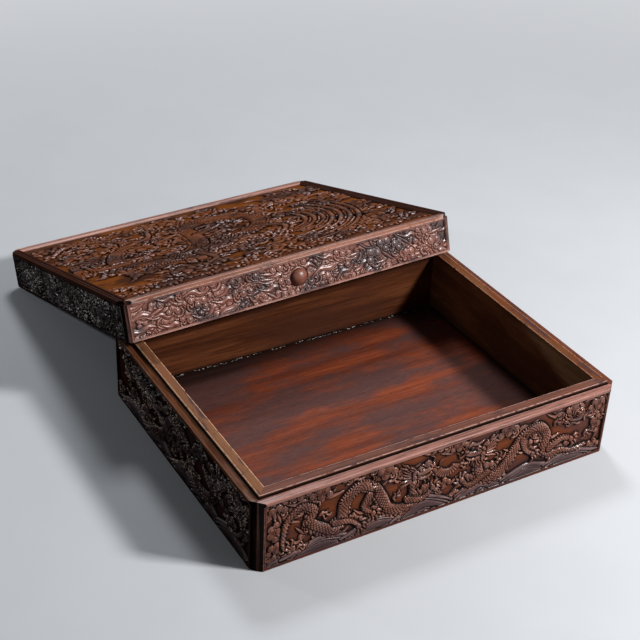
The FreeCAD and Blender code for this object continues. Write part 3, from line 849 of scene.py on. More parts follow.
def end_caps(index, y, cant):
    """The faces at a board's two ends: the mitre, and the canted face, which it meets at half the
    cant's depth."""
    caps = []
    for column, way in ((index[0], 1), (index[-1], -1)):
        if cant:
            low, high = np.flatnonzero(np.abs(y - cant / 2) < TINY)
            caps += [column[low:high + 1][::way], np.r_[column[high:], column[:low + 1]][::way]]
        else:
            caps.append(column[::way])
    return caps


# %% A mitred board
GRAIN_STEP = (17.3, 5.1, 9.7)


def mitred_board(name, node, where, slot_name, finish, section,
                 cant=0.0, field=None, rows=None, seed=0):
    """Carries a section along one side of the box or the lid. field is the board's carving, and
    rows are the two numbers between which its rows stand in the section. seed moves the grain, so
    that no two boards match."""
    body, half = name.split("_")[0], SIDES[where][1] / 2
    section, rubbed = section_and_wear(section)
    y, z = section.T
    carved = field is not None
    inner = field.u if carved else np.linspace(-1, 1, 9) * (half - max(y.max(), cant) - 2)
    x, deep, maps, first = board_grid(y, rubbed, half, cant, inner, carved, ARRIS_PALENESS[body])
    hard_rows = np.array([corner_is_hard(section, k) for k in range(len(section))])
    if carved:
        carve(deep, maps, field, first, rows)
        hard_rows[slice(*rows)] = first_and_last(rows[1] - rows[0])
    points = np.stack([x, deep, np.tile(z, (len(x), 1))], -1).reshape(-1, 3)
    index, quads = tube(*x.shape)
    attributes = {key: values.ravel() for key, values in maps.items()}
    attributes["grain"] = points + np.multiply(GRAIN_STEP, seed)
    piece = add_mesh(name, settle(points, where, body == "lid"), quads, end_caps(index, y, cant),
                     attributes, (hard_rows, first_and_last(len(x))))
    dress(piece, body, slot_name, finish, node)


# %% [markdown]
# ## Shader maths
#
# A procedural finish is arithmetic on positions and masks. Written out node by node it is
# unreadable, so a socket is wrapped in a small class whose plus, minus and times add the Math
# nodes.

# %% A socket that can be added and multiplied
class Value:
    """A number that varies over the surface. Arithmetic on it adds Math nodes."""

    def __init__(self, finish, socket):
        self.finish, self.socket = finish, socket

    def maths(self, operation, first, second=0.0, clamp=False):
        settings = {"operation": operation, "use_clamp": clamp}
        made = self.finish.node("Math", settings, {0: first, 1: second})
        return Value(self.finish, made.outputs[0])

    def __add__(self, other):
        return self.maths("ADD", self, other)

    def __sub__(self, other):
        return self.maths("SUBTRACT", self, other)

    def __mul__(self, other):
        return self.maths("MULTIPLY", self, other)

    def __rsub__(self, other):
        return self.maths("SUBTRACT", other, self)

    __radd__, __rmul__ = __add__, __mul__

    def clamped(self):
        """Kept between 0 and 1."""
        return self.maths("ADD", self, 0.0, clamp=True)

    def unsigned(self):
        return self.maths("ABSOLUTE", self)

    def or_less(self, other):
        """The smaller of two values."""
        return self.maths("MINIMUM", self, other)


# %% The nodes of one finish
BUMP_HEIGHT = 0.0004  # metres, for a change of 1 in the height that a bump reads


class Finish:
    """The nodes of a material or of the world, with one method for every node that isn't plain
    maths."""

    def __init__(self, owner, kind="BSDF_PRINCIPLED"):
        owner.use_nodes = True
        self.owner, self.tree = owner, owner.node_tree
        self.shader = next(n for n in self.tree.nodes if n.type == kind)

    def feed(self, socket, value):
        """Links a value to a socket, or sets a constant on it."""
        if isinstance(value, Value):
            value = value.socket
        if isinstance(value, bpy.types.NodeSocket):
            self.tree.links.new(value, socket)
        else:
            socket.default_value = value

    def node(self, kind, settings=(), inputs=()):
        """Adds a node: its settings first, then the values or links of its sockets, by name or
        place."""
        made = self.tree.nodes.new("ShaderNode" + kind)
        for key, value in dict(settings).items():
            setattr(made, key, value)
        for key, value in dict(inputs).items():
            self.feed(made.inputs[key], value)
        return made

    def attribute(self, name):
        return Value(self, self.node("Attribute", {"attribute_name": name}).outputs["Fac"])

    def noise(self, place, along, across, detail=3.0, roughness=0.6):
        """Noise on a place, with so many waves to each unit of x, and to each unit of y and z."""
        stretch = (along, across, across)
        pulled = self.node("VectorMath", {"operation": "MULTIPLY"}, {0: place, 1: stretch}).outputs[0]
        inputs = {"Vector": pulled, "Scale": 1.0, "Detail": detail, "Roughness": roughness}
        return Value(self, self.node("TexNoise", {}, inputs).outputs["Fac"])

    def between(self, value, low, high):
        """0 at low, 1 at high, smooth between them, and level outside. low may be the larger of the
        two."""
        made = self.node("MapRange", {"interpolation_type": "SMOOTHSTEP"}, {0: value, 1: low, 2: high})
        return Value(self, made.outputs[0])

    def parts(self, vector):
        """A vector's x, y and z."""
        return [Value(self, part) for part in self.node("SeparateXYZ", {}, {0: vector}).outputs]

    def blend(self, factor, first, second):
        """One colour fading into another by a factor."""
        first, second = (((*c, 1) if isinstance(c, tuple) else c) for c in (first, second))
        return self.node("Mix", {"data_type": "RGBA"}, {0: factor, 6: first, 7: second}).outputs[2]

    def done(self, colour, roughness, height=None, bump=0.3, **constants):
        """Joins the results to the shader, with constants set straight on its sockets."""
        self.feed(self.shader.inputs["Base Color"], colour)
        self.feed(self.shader.inputs["Roughness"], roughness)
        if height is not None:
            made = self.node("Bump", {}, {"Strength": bump, "Distance": BUMP_HEIGHT, "Height": height})
            self.tree.links.new(made.outputs[0], self.shader.inputs["Normal"])
        for key, value in constants.items():
            self.shader.inputs[key.replace("_", " ")].default_value = value
        return self.owner


# %% [markdown]
# ## The woods
#
# All the boards are of one dense, dark red-brown hardwood, waxed, not varnished. What differs is
# the wear, with light and shade painted in: the inside is plain and a little dry, with orange-brown
# grain between dark streaks, the carved faces are painted dark in the recesses, for wax and shade,
# and are glossy on the crests, the rims and the lip are rubbed lighter along their edges, with a
# painted highlight or sheen in places, and the left side, which the light hardly reaches, is painted
# darker as shade, with small pale flecks on its crests as painted glints. One function lays the
# grain, in the board's own directions, which each piece carries as an attribute in millimetres, and
# each finish puts its own colours, wear and painted light over it.

# %% Grain for any of the boards
# Nearly black: dark wax, and painted shade in recesses, corners and under the lid.
DARK_WAX_AND_SHADE = (0.006, 0.0032, 0.0025)
SMOKE = (0.05, 0.027, 0.03)
DUST = (0.19, 0.10, 0.085)
# Pale specks along the back joint: crumbs, and painted glints along that joint.
CRUMBS_AND_GLINTS = (0.5, 0.46, 0.45)
# The waves' grey tint and their paler crests: a painted sheen.
WAVE_SHEEN, WAVE_CREST_SHEEN = (0.06, 0.038, 0.042), (0.26, 0.19, 0.20)
# Bare, pale wood on the sharpest arrises, which also stands as a painted highlight there.
BARE_AND_HIGHLIGHT = (0.48, 0.30, 0.25)


def grain_of(finish, place):
    """Three patterns: broad streaks along the board, fine fibres, and short dark pores."""
    broad = finish.noise(place, 0.006, 0.11)
    fibre = finish.noise(place, 0.025, 0.9, detail=5.0, roughness=0.65)
    pores = finish.noise(place, 0.09, 2.6, detail=2.0, roughness=0.5)
    return broad, fibre, pores


def carried_place(finish):
    """The board's own millimetres, from the attribute that its mesh carries."""
    return finish.node("Attribute", {"attribute_name": "grain"}).outputs["Vector"]


def darker(colour, share):
    return tuple(share * part for part in colour)


# %% What lies on the bottom board, the shade painted on it, and what hands do to a plain edge
FLOOR_HALF_X, FLOOR_HALF_Y = BOX_LENGTH / 2 - WALL - LINING, BOX_WIDTH / 2 - WALL - LINING


def dust_and_painted_shade(finish, colour, place, broad, fibre):
    """Dust in grains all over, painted shade in the angle with the lining, the lid's painted shadow
    across the back, and pale specks along the foot of the back lining, for crumbs and the glints
    along that joint."""
    x, y = finish.parts(place)[:2]
    dust = finish.between(finish.noise(place, 0.16, 0.7, roughness=0.7), 0.5, 0.72)
    colour = finish.blend(dust * 0.22, colour, DUST)
    to_lining = (FLOOR_HALF_X - x.unsigned()).or_less(FLOOR_HALF_Y - y.unsigned())
    # Painted shade in the angle with the lining.
    angle = finish.between(to_lining + fibre * 6.0, 9.0, 2.0)
    colour = finish.blend(angle * 0.8, colour, DARK_WAX_AND_SHADE)
    # The lid's shadow across the back of the floor, painted.
    lid_shadow = finish.between(y + broad * 24.0 - x * 0.03, 84.0, 116.0)
    colour = finish.blend(lid_shadow * 0.9, colour, DARK_WAX_AND_SHADE)
    # Pale specks at the foot of the back lining: crumbs and painted glints.
    specks = finish.between(finish.noise(place, 0.45, 0.7), 0.59, 0.63)
    return finish.blend(specks * finish.between(y, 101.5, 102.5), colour, CRUMBS_AND_GLINTS)


def edge_wear_and_shade(finish, colour, place, fibre, rubbed, bare):
    """Where the piece carries wear: the rubbed colour, stronger on some fibres and stained in
    places, the bare one in broken lengths on the sharpest arrises, pale as wear and as a painted
    highlight, and in the corners near black, for old wax and painted shade."""
    worn = finish.attribute("crest")
    top = worn.clamped()
    colour = finish.blend(top * (finish.between(fibre, 0.4, 0.58) * 0.55 + 0.45), colour, rubbed)
    stain = finish.between(finish.noise(place, 0.03, 0.16, roughness=0.65), 0.5, 0.62)
    colour = finish.blend(stain * top * 0.8, colour, SMOKE)
    broken = finish.between(finish.noise(place, 0.2, 0.3, roughness=0.7), 0.36, 0.5)
    colour = finish.blend((worn - 1.0).clamped() * broken, colour, bare)
    return finish.blend(finish.attribute("recess"), colour, DARK_WAX_AND_SHADE)


# %% The plain boards
def plain_wood(name, dark, middle, light, rubbed=None, bare=None, rough=0.34, coat=0.0, gleam=0.0,
               smoky=None, place_of=carried_place, is_floor=False):
    """Grain runs from dark through middle to light. The pores darken it and lie a hair lower. A
    smoky colour, if given, lies over the grain in long soft patches."""
    finish = Finish(bpy.data.materials.new(name))
    place = place_of(finish)
    broad, fibre, pores = grain_of(finish, place)
    colour = finish.blend(finish.between(broad * 0.65 + fibre * 0.35, 0.38, 0.62), dark, middle)
    colour = finish.blend(finish.between(fibre * 0.6 + broad * 0.4, 0.5, 0.72) * 0.75, colour, light)
    if smoky:
        drift = finish.noise(place, 0.011, 0.034, detail=4.0, roughness=0.62) * 0.8 + fibre * 0.2
        if is_floor:
            drift = drift + finish.between(finish.parts(place)[0], 60.0, -120.0) * 0.07
        colour = finish.blend(finish.between(drift, 0.44, 0.6) * 0.85, colour, smoky)
    pore = finish.between(pores, 0.58, 0.7)
    colour = finish.blend(pore * 0.6, colour, darker(dark, 0.3))
    if is_floor:
        colour = dust_and_painted_shade(finish, colour, place, broad, fibre)
    if rubbed:
        colour = edge_wear_and_shade(finish, colour, place, fibre, rubbed, bare or rubbed)
    return finish.done(colour, rough + fibre * 0.16 - 0.08 + pore * 0.12,
                       fibre * 0.5 - pore * 0.6, bump=0.22,
                       Coat_Weight=coat, Coat_Roughness=0.25, Specular_IOR_Level=gleam)


# %% The carved boards
def painted_glints(finish, colour, place, where, bare, strength, spread, spot):
    """Painted glints: small pale flecks, spot millimetres or so wide, in clusters. A higher spread
    leaves fewer clusters."""
    clusters = finish.between(finish.noise(place, 0.05, 0.08, detail=2.0), spread, spread + 0.13)
    flecks = finish.between(finish.noise(place, 0.6 / spot, 0.8 / spot, detail=2.0), 0.52, 0.59)
    return finish.blend(clusters * flecks * where * strength, colour, bare)


def rim_wear_and_sheen(finish, colour, place, where, rim):
    """The plain rim's colour where it is rubbed: worn wood, with the sheen or shade of its side painted
    in, and dark streaks along the grain.
    """
    streaks = finish.between(finish.noise(place, 0.03, 0.5, roughness=0.65), 0.54, 0.4)
    colour = finish.blend(where * 0.92, colour, rim)
    return finish.blend(where * streaks * 0.8, colour, darker(rim, 0.34))


def carved_wood(name, ground, middle, crest, bare=BARE_AND_HIGHLIGHT, rough=0.36, coat=0.8, glaze=0.1,
                gleam=0.05, shine=0.2, wax_and_shade=1.35, smoke=SMOKE, smoked=0.55, marks=0.5,
                sparks=0.0, spread=0.44, spot=1.0, rim=None):
    """Open ground keeps the wood's orange-brown, motifs are darker, crests are rubbed and painted
    lighter as a highlight, recesses are painted nearly black, for wax and the shade in them, and the
    waves are tinted grey as a painted sheen. Only what a hand can reach is glossy, so the coat comes
    in with the crests, over a thin glaze everywhere, and hardly on the plain borders. Smoky patches a
    few centimetres wide darken everything, where the wood has taken more wax, and the knife's small
    marks are a fine noise in the bump. sparks, spread and spot are painted glints, pale flecks in
    clusters on the crests in the colour bare, which also pales the barest arrises, and rim is the
    colour of the rubbed, plain rim, with the sheen or shade of its side painted in."""
    finish = Finish(bpy.data.materials.new(name))
    place = carried_place(finish)
    broad, fibre, pores = grain_of(finish, place)
    hollow, edge, open_ground, water, plain = (finish.attribute(key) for key in MAPS)
    top = edge.clamped()
    patches = finish.between(finish.noise(place, 0.028, 0.05), 0.45, 0.6)
    handled = finish.between(finish.noise(place, 0.07, 0.11, detail=2.0), 0.4, 0.6)
    coarse = finish.between(broad * 0.6 + fibre * 0.4, 0.35, 0.65)
    tint = finish.blend(coarse, darker(middle, 0.6), middle)
    # The waves tinted grey: a painted sheen.
    tint = finish.blend(water * 0.8, tint, WAVE_SHEEN)
    fine = finish.between(fibre * 0.6 + broad * 0.4, 0.35, 0.65)
    earth = finish.blend(fine, darker(ground, 0.5), ground)
    colour = finish.blend(open_ground, tint, earth)
    colour = finish.blend(patches * smoked, colour, smoke)
    # Crests painted lighter: rubbing, and a painted highlight.
    reached = (top * (0.2 + fibre * 0.3 + handled * 0.35) * (1 - patches * 0.8 * smoked)).clamped()
    colour = finish.blend(reached, colour, finish.blend(water * 0.6, crest, WAVE_CREST_SHEEN))
    # Painted glints: pale flecks in clusters on the crests.
    if sparks:
        crests = finish.between(top, 0.2, 0.5) * (1 - plain)
        colour = painted_glints(finish, colour, place, crests, bare, sparks, spread, spot)
    # The plain rim's colour: wear, with a painted sheen on the front and back and painted shade on the
    # left.
    if rim:
        colour = rim_wear_and_sheen(finish, colour, place, plain * top, rim)
    # The barest arrises painted pale: worn wood and a painted highlight.
    colour = finish.blend((edge - 1.0).clamped() * (1 - patches * smoked), colour, bare)
    # Recesses painted nearly black: dark wax, and painted shade.
    colour = finish.blend((hollow * wax_and_shade).clamped(), colour, DARK_WAX_AND_SHADE)
    polish = (top * (0.5 + handled * 1.1) + glaze) * coat * (1 - hollow) * (1 - plain * 0.88)
    finish.feed(finish.shader.inputs["Coat Weight"], polish.clamped())
    cuts = finish.noise(place, 0.6, 0.8, detail=2.0)
    return finish.done(colour, rough + hollow * 0.35 - top * 0.12 + fibre * 0.14 - 0.07,
                       fibre * 0.5 - finish.between(pores, 0.6, 0.72) * 0.5 + cuts * marks,
                       Coat_Roughness=shine, Specular_IOR_Level=gleam)


# %% The box's outer boards: ground, motifs, crests
CARVED_COLOURS = (0.21, 0.052, 0.016), (0.12, 0.036, 0.02), (0.48, 0.19, 0.12)
# The front and back rims are painted a pale pink as a sheen; the right one keeps a plain brown.
SHEEN_RIM_CARVED = carved_wood("carved hardwood", *CARVED_COLOURS, coat=0.7, shine=0.21,
                     rim=(0.33, 0.145, 0.115))
RIGHT_CARVED = carved_wood("carved hardwood with a brown rim", *CARVED_COLOURS, coat=0.7, shine=0.21,
                           rim=(0.12, 0.026, 0.007))
# The left side's copy, painted darker as shade, with pale flecks as painted glints.
SHADED = carved_wood("carved hardwood painted dark for shade",
                     (0.05, 0.016, 0.007), (0.022, 0.009, 0.006), (0.10, 0.04, 0.018),
                     bare=(0.85, 0.61, 0.48), coat=0.45, glaze=0.0, gleam=0.0, shine=0.16, marks=1.6,
                     sparks=1.0, spread=0.45, spot=1.1, rim=(0.135, 0.046, 0.02))

# %% The lid's aprons, its panel and the pearl
APRON_WOOD = carved_wood("carved apron wood",
                         (0.15, 0.046, 0.026), (0.15, 0.05, 0.028), (0.30, 0.12, 0.075),
                         coat=1.0, shine=0.15)
# The left apron's copy, painted darker as shade, with pale flecks as painted glints.
SHADED_APRON = carved_wood("apron wood painted dark for shade",
                           (0.03, 0.012, 0.008), (0.016, 0.008, 0.006), (0.08, 0.04, 0.03),
                           bare=(0.95, 0.81, 0.75), coat=0.6, glaze=0.0, gleam=0.0, shine=0.15,
                           marks=1.4, sparks=1.0, spread=0.46, spot=1.6)
# The front apron's pinker colours are rubbed wood and, in part, a painted sheen.
HANDLED_SHEEN_WOOD = carved_wood("handled apron wood with a painted sheen",
                           (0.22, 0.065, 0.04), (0.25, 0.085, 0.056), (0.42, 0.2, 0.155),
                           coat=0.75, glaze=0.7, gleam=0.2, shine=0.3, wax_and_shade=0.7,
                           smoke=(0.028, 0.02, 0.024), smoked=0.85)
# The panel's pale, bluish flecks on its crests are painted glints.
PANEL_WOOD = carved_wood("carved panel wood",
                         (0.27, 0.08, 0.018), (0.18, 0.05, 0.015), (0.42, 0.18, 0.11),
                         bare=(0.74, 0.64, 0.68), rough=0.32, coat=0.5, glaze=0.0, gleam=0.0,
                         wax_and_shade=1.1, smoke=(0.03, 0.016, 0.015), smoked=0.75, sparks=0.85,
                         spread=0.48, spot=1.3)
PEARL_WOOD = carved_wood("pearl wood",
                         (0.19, 0.056, 0.03), (0.19, 0.056, 0.03), (0.32, 0.13, 0.085),
                         rough=0.42, coat=0.6, glaze=0.3, gleam=0.3, shine=0.34)

# %% The frame's rails and the lining: dark, middle, light, rubbed, bare
# The side rails are painted nearly black as shade, and the back rail lighter as a painted sheen.
SHADED_FRAME_WOOD = plain_wood("frame wood painted dark for shade", (0.018, 0.006, 0.004), (0.035, 0.012, 0.007),
                        (0.055, 0.02, 0.011), (0.075, 0.031, 0.02))
RAIL_COLOURS = (0.08, 0.02, 0.009), (0.19, 0.052, 0.02), (0.26, 0.085, 0.036)
SHEEN_FRAME_WOOD = plain_wood("frame wood with a painted sheen", *RAIL_COLOURS, (0.44, 0.205, 0.15),
                               (0.60, 0.41, 0.36), coat=0.06, gleam=0.14)
FRONT_FRAME_WOOD = plain_wood("brown frame wood", *RAIL_COLOURS, (0.36, 0.142, 0.085),
                              (0.62, 0.41, 0.35), coat=0.06, gleam=0.08)
LINING_WOOD = plain_wood("lining wood", (0.045, 0.013, 0.005), (0.115, 0.036, 0.014),
                         (0.17, 0.058, 0.024), (0.175, 0.066, 0.045), (0.38, 0.23, 0.19),
                         rough=0.45, gleam=0.07, smoky=(0.06, 0.02, 0.011))
# Paler side linings: the wood's golden tone, and a painted fill for the light bounced onto the shaded
# side.
SIDE_FILL_COLOURS = (0.13, 0.07, 0.032), (0.25, 0.145, 0.07), (0.31, 0.18, 0.09)
LEFT_LINING_WOOD = plain_wood("golden lining wood", *SIDE_FILL_COLOURS, (0.215, 0.08, 0.034),
                              (0.55, 0.33, 0.21), rough=0.45, gleam=0.05,
                              smoky=(0.11, 0.055, 0.028))
RIGHT_LINING_WOOD = plain_wood("brown lining wood", *SIDE_FILL_COLOURS, (0.145, 0.037, 0.012),
                               (0.34, 0.17, 0.10), rough=0.45, gleam=0.02,
                               smoky=(0.11, 0.055, 0.028))
print("finishes:", [m.name for m in bpy.data.materials if m.use_nodes])

# %% [markdown]
# ## The box's outer boards
#
# Each outer board is about six millimetres thick, with a moulded rim left proud along its top edge,
# and plain borders round the sunk, carved field. The rim's nose is rounded, a small cove leads down
# to the face, and a shallow step runs along the inside of the flat ledge on top. The section below
# goes round the board: across the foot, up the carved face, over the rim and down the back.

# %% Section of an outer board
BORDER_EASE = 0.35
LEDGE_STEP = 0.4


def wall_section(field, arris):
    """(y, z, wear) round the board, with the field's rows in it, and the two numbers between which
    they stand. The rim is rubbed on its nose and its ledge, and arris is how pale the edges between
    them are painted, for wear and as a painted highlight. The cove under the nose and the step by the
    lip are painted dark, for wax and the shade in them."""
    foot = [(WALL, 0), (RIM_CANT / 2, 0), (RIM_PROUD + 0.45, 0), (RIM_PROUD, 0.45, 0.3),
            (RIM_PROUD, 1.2), (RIM_PROUD, FOOT_BORDER - BORDER_EASE)]
    rows = [(RIM_PROUD, v) for v in field.v]
    cove = [(RIM_PROUD, 54.7, 0.1), (RIM_PROUD, 55.0, -0.8), (0.45, 55.2, -0.5)]
    nose = [(0.1, 55.4, arris), (0.0, 55.7, arris), (0.0, 56.1, 1.0), (0.0, 57.1, 1.0),
            (0.1, 57.5, 1.0), (0.35, 57.75, arris), (0.8, 57.84, (1 + arris) / 2)]
    ledge = [(1.5, 57.88, 1.0), (2.9, 57.93, 1.0), (RIM_CANT / 2, 57.97, 1.0), (5.15, LEDGE, 1.0),
             (5.4, LEDGE, arris), (5.75, LEDGE, arris), (5.9, LEDGE - LEDGE_STEP, -1),
             (WALL, LEDGE - LEDGE_STEP, -1)]
    return foot + rows + cove + nose + ledge, (len(foot), len(foot) + len(rows))


# %% Make the four outer boards
def mirrored_field(field):
    """The same carving drawn the other way round."""
    field.h, field.water = field.h[::-1].copy(), field.water[::-1].copy()
    return field


# For each side: its carving, its finish, and how pale the rim's edges are painted, for wear and as a
# painted highlight.
walls = {"front": (long_carving(3), SHEEN_RIM_CARVED, 1.8),
         "right": (mirrored_field(short_carving(27)), RIGHT_CARVED, 0.6),
         "back": (mirrored_field(long_carving(14)), SHEEN_RIM_CARVED, 1.8),
         "left": (short_carving(8), SHADED, 1.08)}
for k, (where, (carving, wood, arris)) in enumerate(walls.items()):
    section, rows = wall_section(carving, arris)
    mitred_board(f"box_{where}_carved_board", f"box_{where}_wall", where, "carved_wood", wood, section,
                 cant=RIM_CANT, field=carving, rows=rows, seed=k)

# %% [markdown]
# ## The lining and its lip
#
# The lining boards stand inside the outer ones and rise above them as the lip. A groove near their
# foot holds the bottom board's tongue, and their top edges are eased by a plane stroke. The box's
# two sides have a paler, golden-brown lining than its front and back, painted lighter in part to
# stand for the light that bounces onto the shaded side.

# %% Make the four lining boards
HAIR = 0.02  # the gap between the lining and the outer board
GROOVE_LOW, GROOVE_HIGH, GROOVE_DEEP = 2.4, 5.6, 3.1
OUTSIDE, INSIDE = WALL + HAIR, WALL + LINING
LIP_TOP = LEDGE + LIP


def lining_section(lip_wear):
    """(y, z, wear) round a lining board: its groove, the corner over the bottom board, painted dark for
    wax and the shade there, the lip's eased edges, painted pale for wear and as a highlight, and its
    flat top, and the foot of the lip, painted dark for the ledge's wax and the shade in that angle."""
    groove = [(INSIDE, GROOVE_LOW), (INSIDE - GROOVE_DEEP, GROOVE_LOW),
              (INSIDE - GROOVE_DEEP, GROOVE_HIGH), (INSIDE, GROOVE_HIGH)]
    face = [(INSIDE, 8.1, -1), (INSIDE, 9.0, -0.5), (INSIDE, 11), (INSIDE, LIP_TOP - 1.6),
            (INSIDE, LIP_TOP - 0.5, 0.4)]
    lip = [(INSIDE - 0.15, LIP_TOP - 0.15, 2), (INSIDE - 0.5, LIP_TOP, 2),
           (INSIDE - 0.9, LIP_TOP, lip_wear), (WALL + 1.1, LIP_TOP, lip_wear),
           (WALL + 0.6, LIP_TOP, 2), (WALL + 0.2, LIP_TOP - 0.17, 2)]
    back = [(OUTSIDE, LIP_TOP - 0.5, 0.4), (OUTSIDE, LIP_TOP - 0.9, -0.6), (OUTSIDE, LEDGE, -1)]
    return [(OUTSIDE, 0), (INSIDE, 0)] + groove + face + lip + back


side_linings = {"left": (LEFT_LINING_WOOD, 1.0), "right": (RIGHT_LINING_WOOD, 1.0)}
for k, where in enumerate(SIDES):
    wood, lip_wear = side_linings.get(where, (LINING_WOOD, 0.9))
    mitred_board(f"box_{where}_lining_board", f"box_{where}_lining", where, "lining_wood", wood,
                 lining_section(lip_wear), seed=10 + k)

# %% [markdown]
# ## The lid's aprons, frame and panel
#
# The lid is a frame of four moulded rails mitred over four carved aprons, with a carved panel
# floating in its groove. The rail's top has a rounded nose, then a bead between two quirks, a flat,
# and a bevel down to the panel. The front of the lid is what a hand takes hold of, so its apron and
# its rail are the most rubbed, and the front apron is painted pinker as a sheen. The back rail is
# painted lighter as a sheen, and the two side rails are painted nearly black as shade.

# %% Make the four aprons
def apron_section(field, rub):
    """(y, z, wear) round an apron: foot, carved face, top, back. rub is how much its foot is
    handled. The top, in the angle under the rail, is painted dark, for wax and the shade there."""
    foot = [(APRON_BACK, 0, 0.3 * rub), (APRON_CANT / 2, 0, 0.3 * rub), (RIM_PROUD + 0.3, 0, 1.6 * rub),
            (RIM_PROUD, 0.3, 1.8 * rub), (RIM_PROUD, 1.1, 1.2 * rub),
            (RIM_PROUD, APRON_FOOT - BORDER_EASE, 0.8 * rub)]
    rows = [(RIM_PROUD, v) for v in field.v]
    top = [(RIM_PROUD, 28.3, 0.2), (RIM_PROUD, APRON_HEIGHT, -1), (APRON_CANT / 2, APRON_HEIGHT),
           (APRON_BACK, APRON_HEIGHT)]
    return foot + rows + top, (len(foot), len(foot) + len(rows))


aprons = {"front": (HANDLED_SHEEN_WOOD, 1.0), "left": (SHADED_APRON, 0.15)}
for k, (where, (_, length, _)) in enumerate(SIDES.items()):
    carving = apron_carving(length, 31 + 4 * k, pearl=where == "front")
    wood, rub = aprons.get(where, (APRON_WOOD, 0.6))
    section, rows = apron_section(carving, rub)
    mitred_board(f"lid_{where}_carved_apron", f"lid_{where}_apron", where, "carved_wood", wood, section,
                 cant=APRON_CANT, field=carving, rows=rows, seed=20 + k)

# %% Make the four rails
RAIL_IN, GROOVE_END = 16.0, 7.5
groove = [(RAIL_IN, BOARD_UNDER), (RAIL_IN, TONGUE_UNDER), (GROOVE_END, TONGUE_UNDER),
          (GROOVE_END, PANEL_GROUND)]
# The rail's wear is painted: the quirks and the foot of the bevel dark, for wax and the shade in them,
# and the bevel, bead and nose pale, for rubbing and as a painted highlight.
bevel = [(10, PANEL_GROUND, -1), (9.85, 29.9, -0.3), (9.4, 30.35, 0.9), (8.5, 31.0, 1.2),
         (7.6, 31.6, 1.1), (6.9, 31.93, 0.8), (6.3, LID_HEIGHT, 0.4)]
flat = [(5.6, LID_HEIGHT, 0.4), (5.35, 31.85, 0.2)]
bead = [(5.15, 31.2, -1), (4.95, 31.2, -1), (4.75, 31.8, 0.1), (RIM_CANT / 2, 31.98, 1.0),
        (3.5, 31.98, 1.2), (2.95, 31.8, 0.6), (2.75, 31.2, -1), (2.5, 31.2, -1)]
nose = [(2.25, 31.85, 1.2), (1.5, 31.98, 1.5), (0.75, 31.8, 1.4), (0.2, 31.2, 0.3), (0.0, 30.5, 0.8),
        (0.0, 29.7, 1.8), (0.35, APRON_HEIGHT, 1.6)]
under = [(RIM_CANT / 2, APRON_HEIGHT), (APRON_BACK, APRON_HEIGHT), (APRON_BACK, BOARD_UNDER)]
front_and_back_rails = {"front": FRONT_FRAME_WOOD, "back": SHEEN_FRAME_WOOD}
for k, where in enumerate(SIDES):
    mitred_board(f"lid_{where}_moulded_rail", f"lid_{where}_rail", where, "frame_wood",
                 front_and_back_rails.get(where, SHADED_FRAME_WOOD), groove + bevel + flat + bead + nose + under,
                 cant=RIM_CANT, seed=30 + k)

# %% The panel as boards glued edge to edge
TONGUE_IN, BOARD_IN = 7.8, 16.3  # how far inside the lid's outline the tongue and the thick middle end
PANEL_GRAIN_STEP = (31.0, 13.0, 0.0)


def panel_board(name, field, keep, seed):
    """One of the panel's boards: a grid whose top is the carving and whose edge is the tongue. Each
    column goes over the carved rows from front to back and comes home underneath, where the board
    is thick well inside the frame and steps down to its tongue near it."""
    tongue_x, tongue_y = BOX_LENGTH / 2 - TONGUE_IN, BOX_WIDTH / 2 - TONGUE_IN
    step_x, step_y = BOX_LENGTH / 2 - BOARD_IN, BOX_WIDTH / 2 - BOARD_IN
    v = field.v[keep]
    if keep.start == 0:
        over, carved = np.r_[-tongue_y, v], slice(1, None)
        under = np.array([v[-1], -step_y + 0.5, -step_y, -tongue_y])
    else:
        over, carved = np.r_[v, tongue_y], slice(None, -1)
        under = np.array([tongue_y, step_y, step_y - 0.5, v[0]])
    x, y = np.r_[-tongue_x, field.u, tongue_x], np.r_[over, under]
    top = np.zeros((len(x), len(over)))
    top[1:-1, carved] = field.h[:, keep]
    thick = (np.abs(x[:, None]) < step_x) & (np.abs(under) < step_y - 0.1)
    z = np.hstack([PANEL_GROUND + top, np.where(thick, BOARD_UNDER, TONGUE_UNDER)])
    flat = np.meshgrid(x, y, indexing="ij")
    points = np.stack([*flat, z], -1).reshape(-1, 3)
    index, quads = tube(*z.shape)
    attributes = {"grain": points + np.multiply(PANEL_GRAIN_STEP, seed)}
    for key, values in wear_and_shade_maps(field).items():
        full = np.zeros(z.shape)
        full[1:-1, :len(over)][:, carved] = values[:, keep]
        attributes[key] = full.ravel()
    hard_rows = np.arange(len(y)) >= len(over)
    return add_mesh(name, laid_on_lid(points), quads, [index[0], index[-1][::-1]], attributes,
                    (hard_rows, first_and_last(len(x))))


# %% Make the panel's two boards
panel = panel_carving()
seam = len(panel.v) // 2
for name, keep, seed in (("lid_panel_front_board", slice(0, seam + 1), 40),
                         ("lid_panel_rear_board", slice(seam, None), 43)):
    dress(panel_board(name, panel, keep, seed), "lid", "panel_wood", PANEL_WOOD, "lid_panel")

# %% [markdown]
# ## The pearl, the floor and the battens
#
# The pearl on the front apron is turned, so its surface is a profile spun round an axis. The bottom
# board and the battens under the panel are plain boards whose construction shape is right as it is,
# so those solids stay and only take a finish, with the grain read from object coordinates.

# %% Turn the pearl
DOWEL_RADIUS, DOWEL_LENGTH = 2.5, 3.2
PEARL_RADIUS, PEARL_RISE, PEARL_MIDDLE = 6.75, 4.8, 1.5


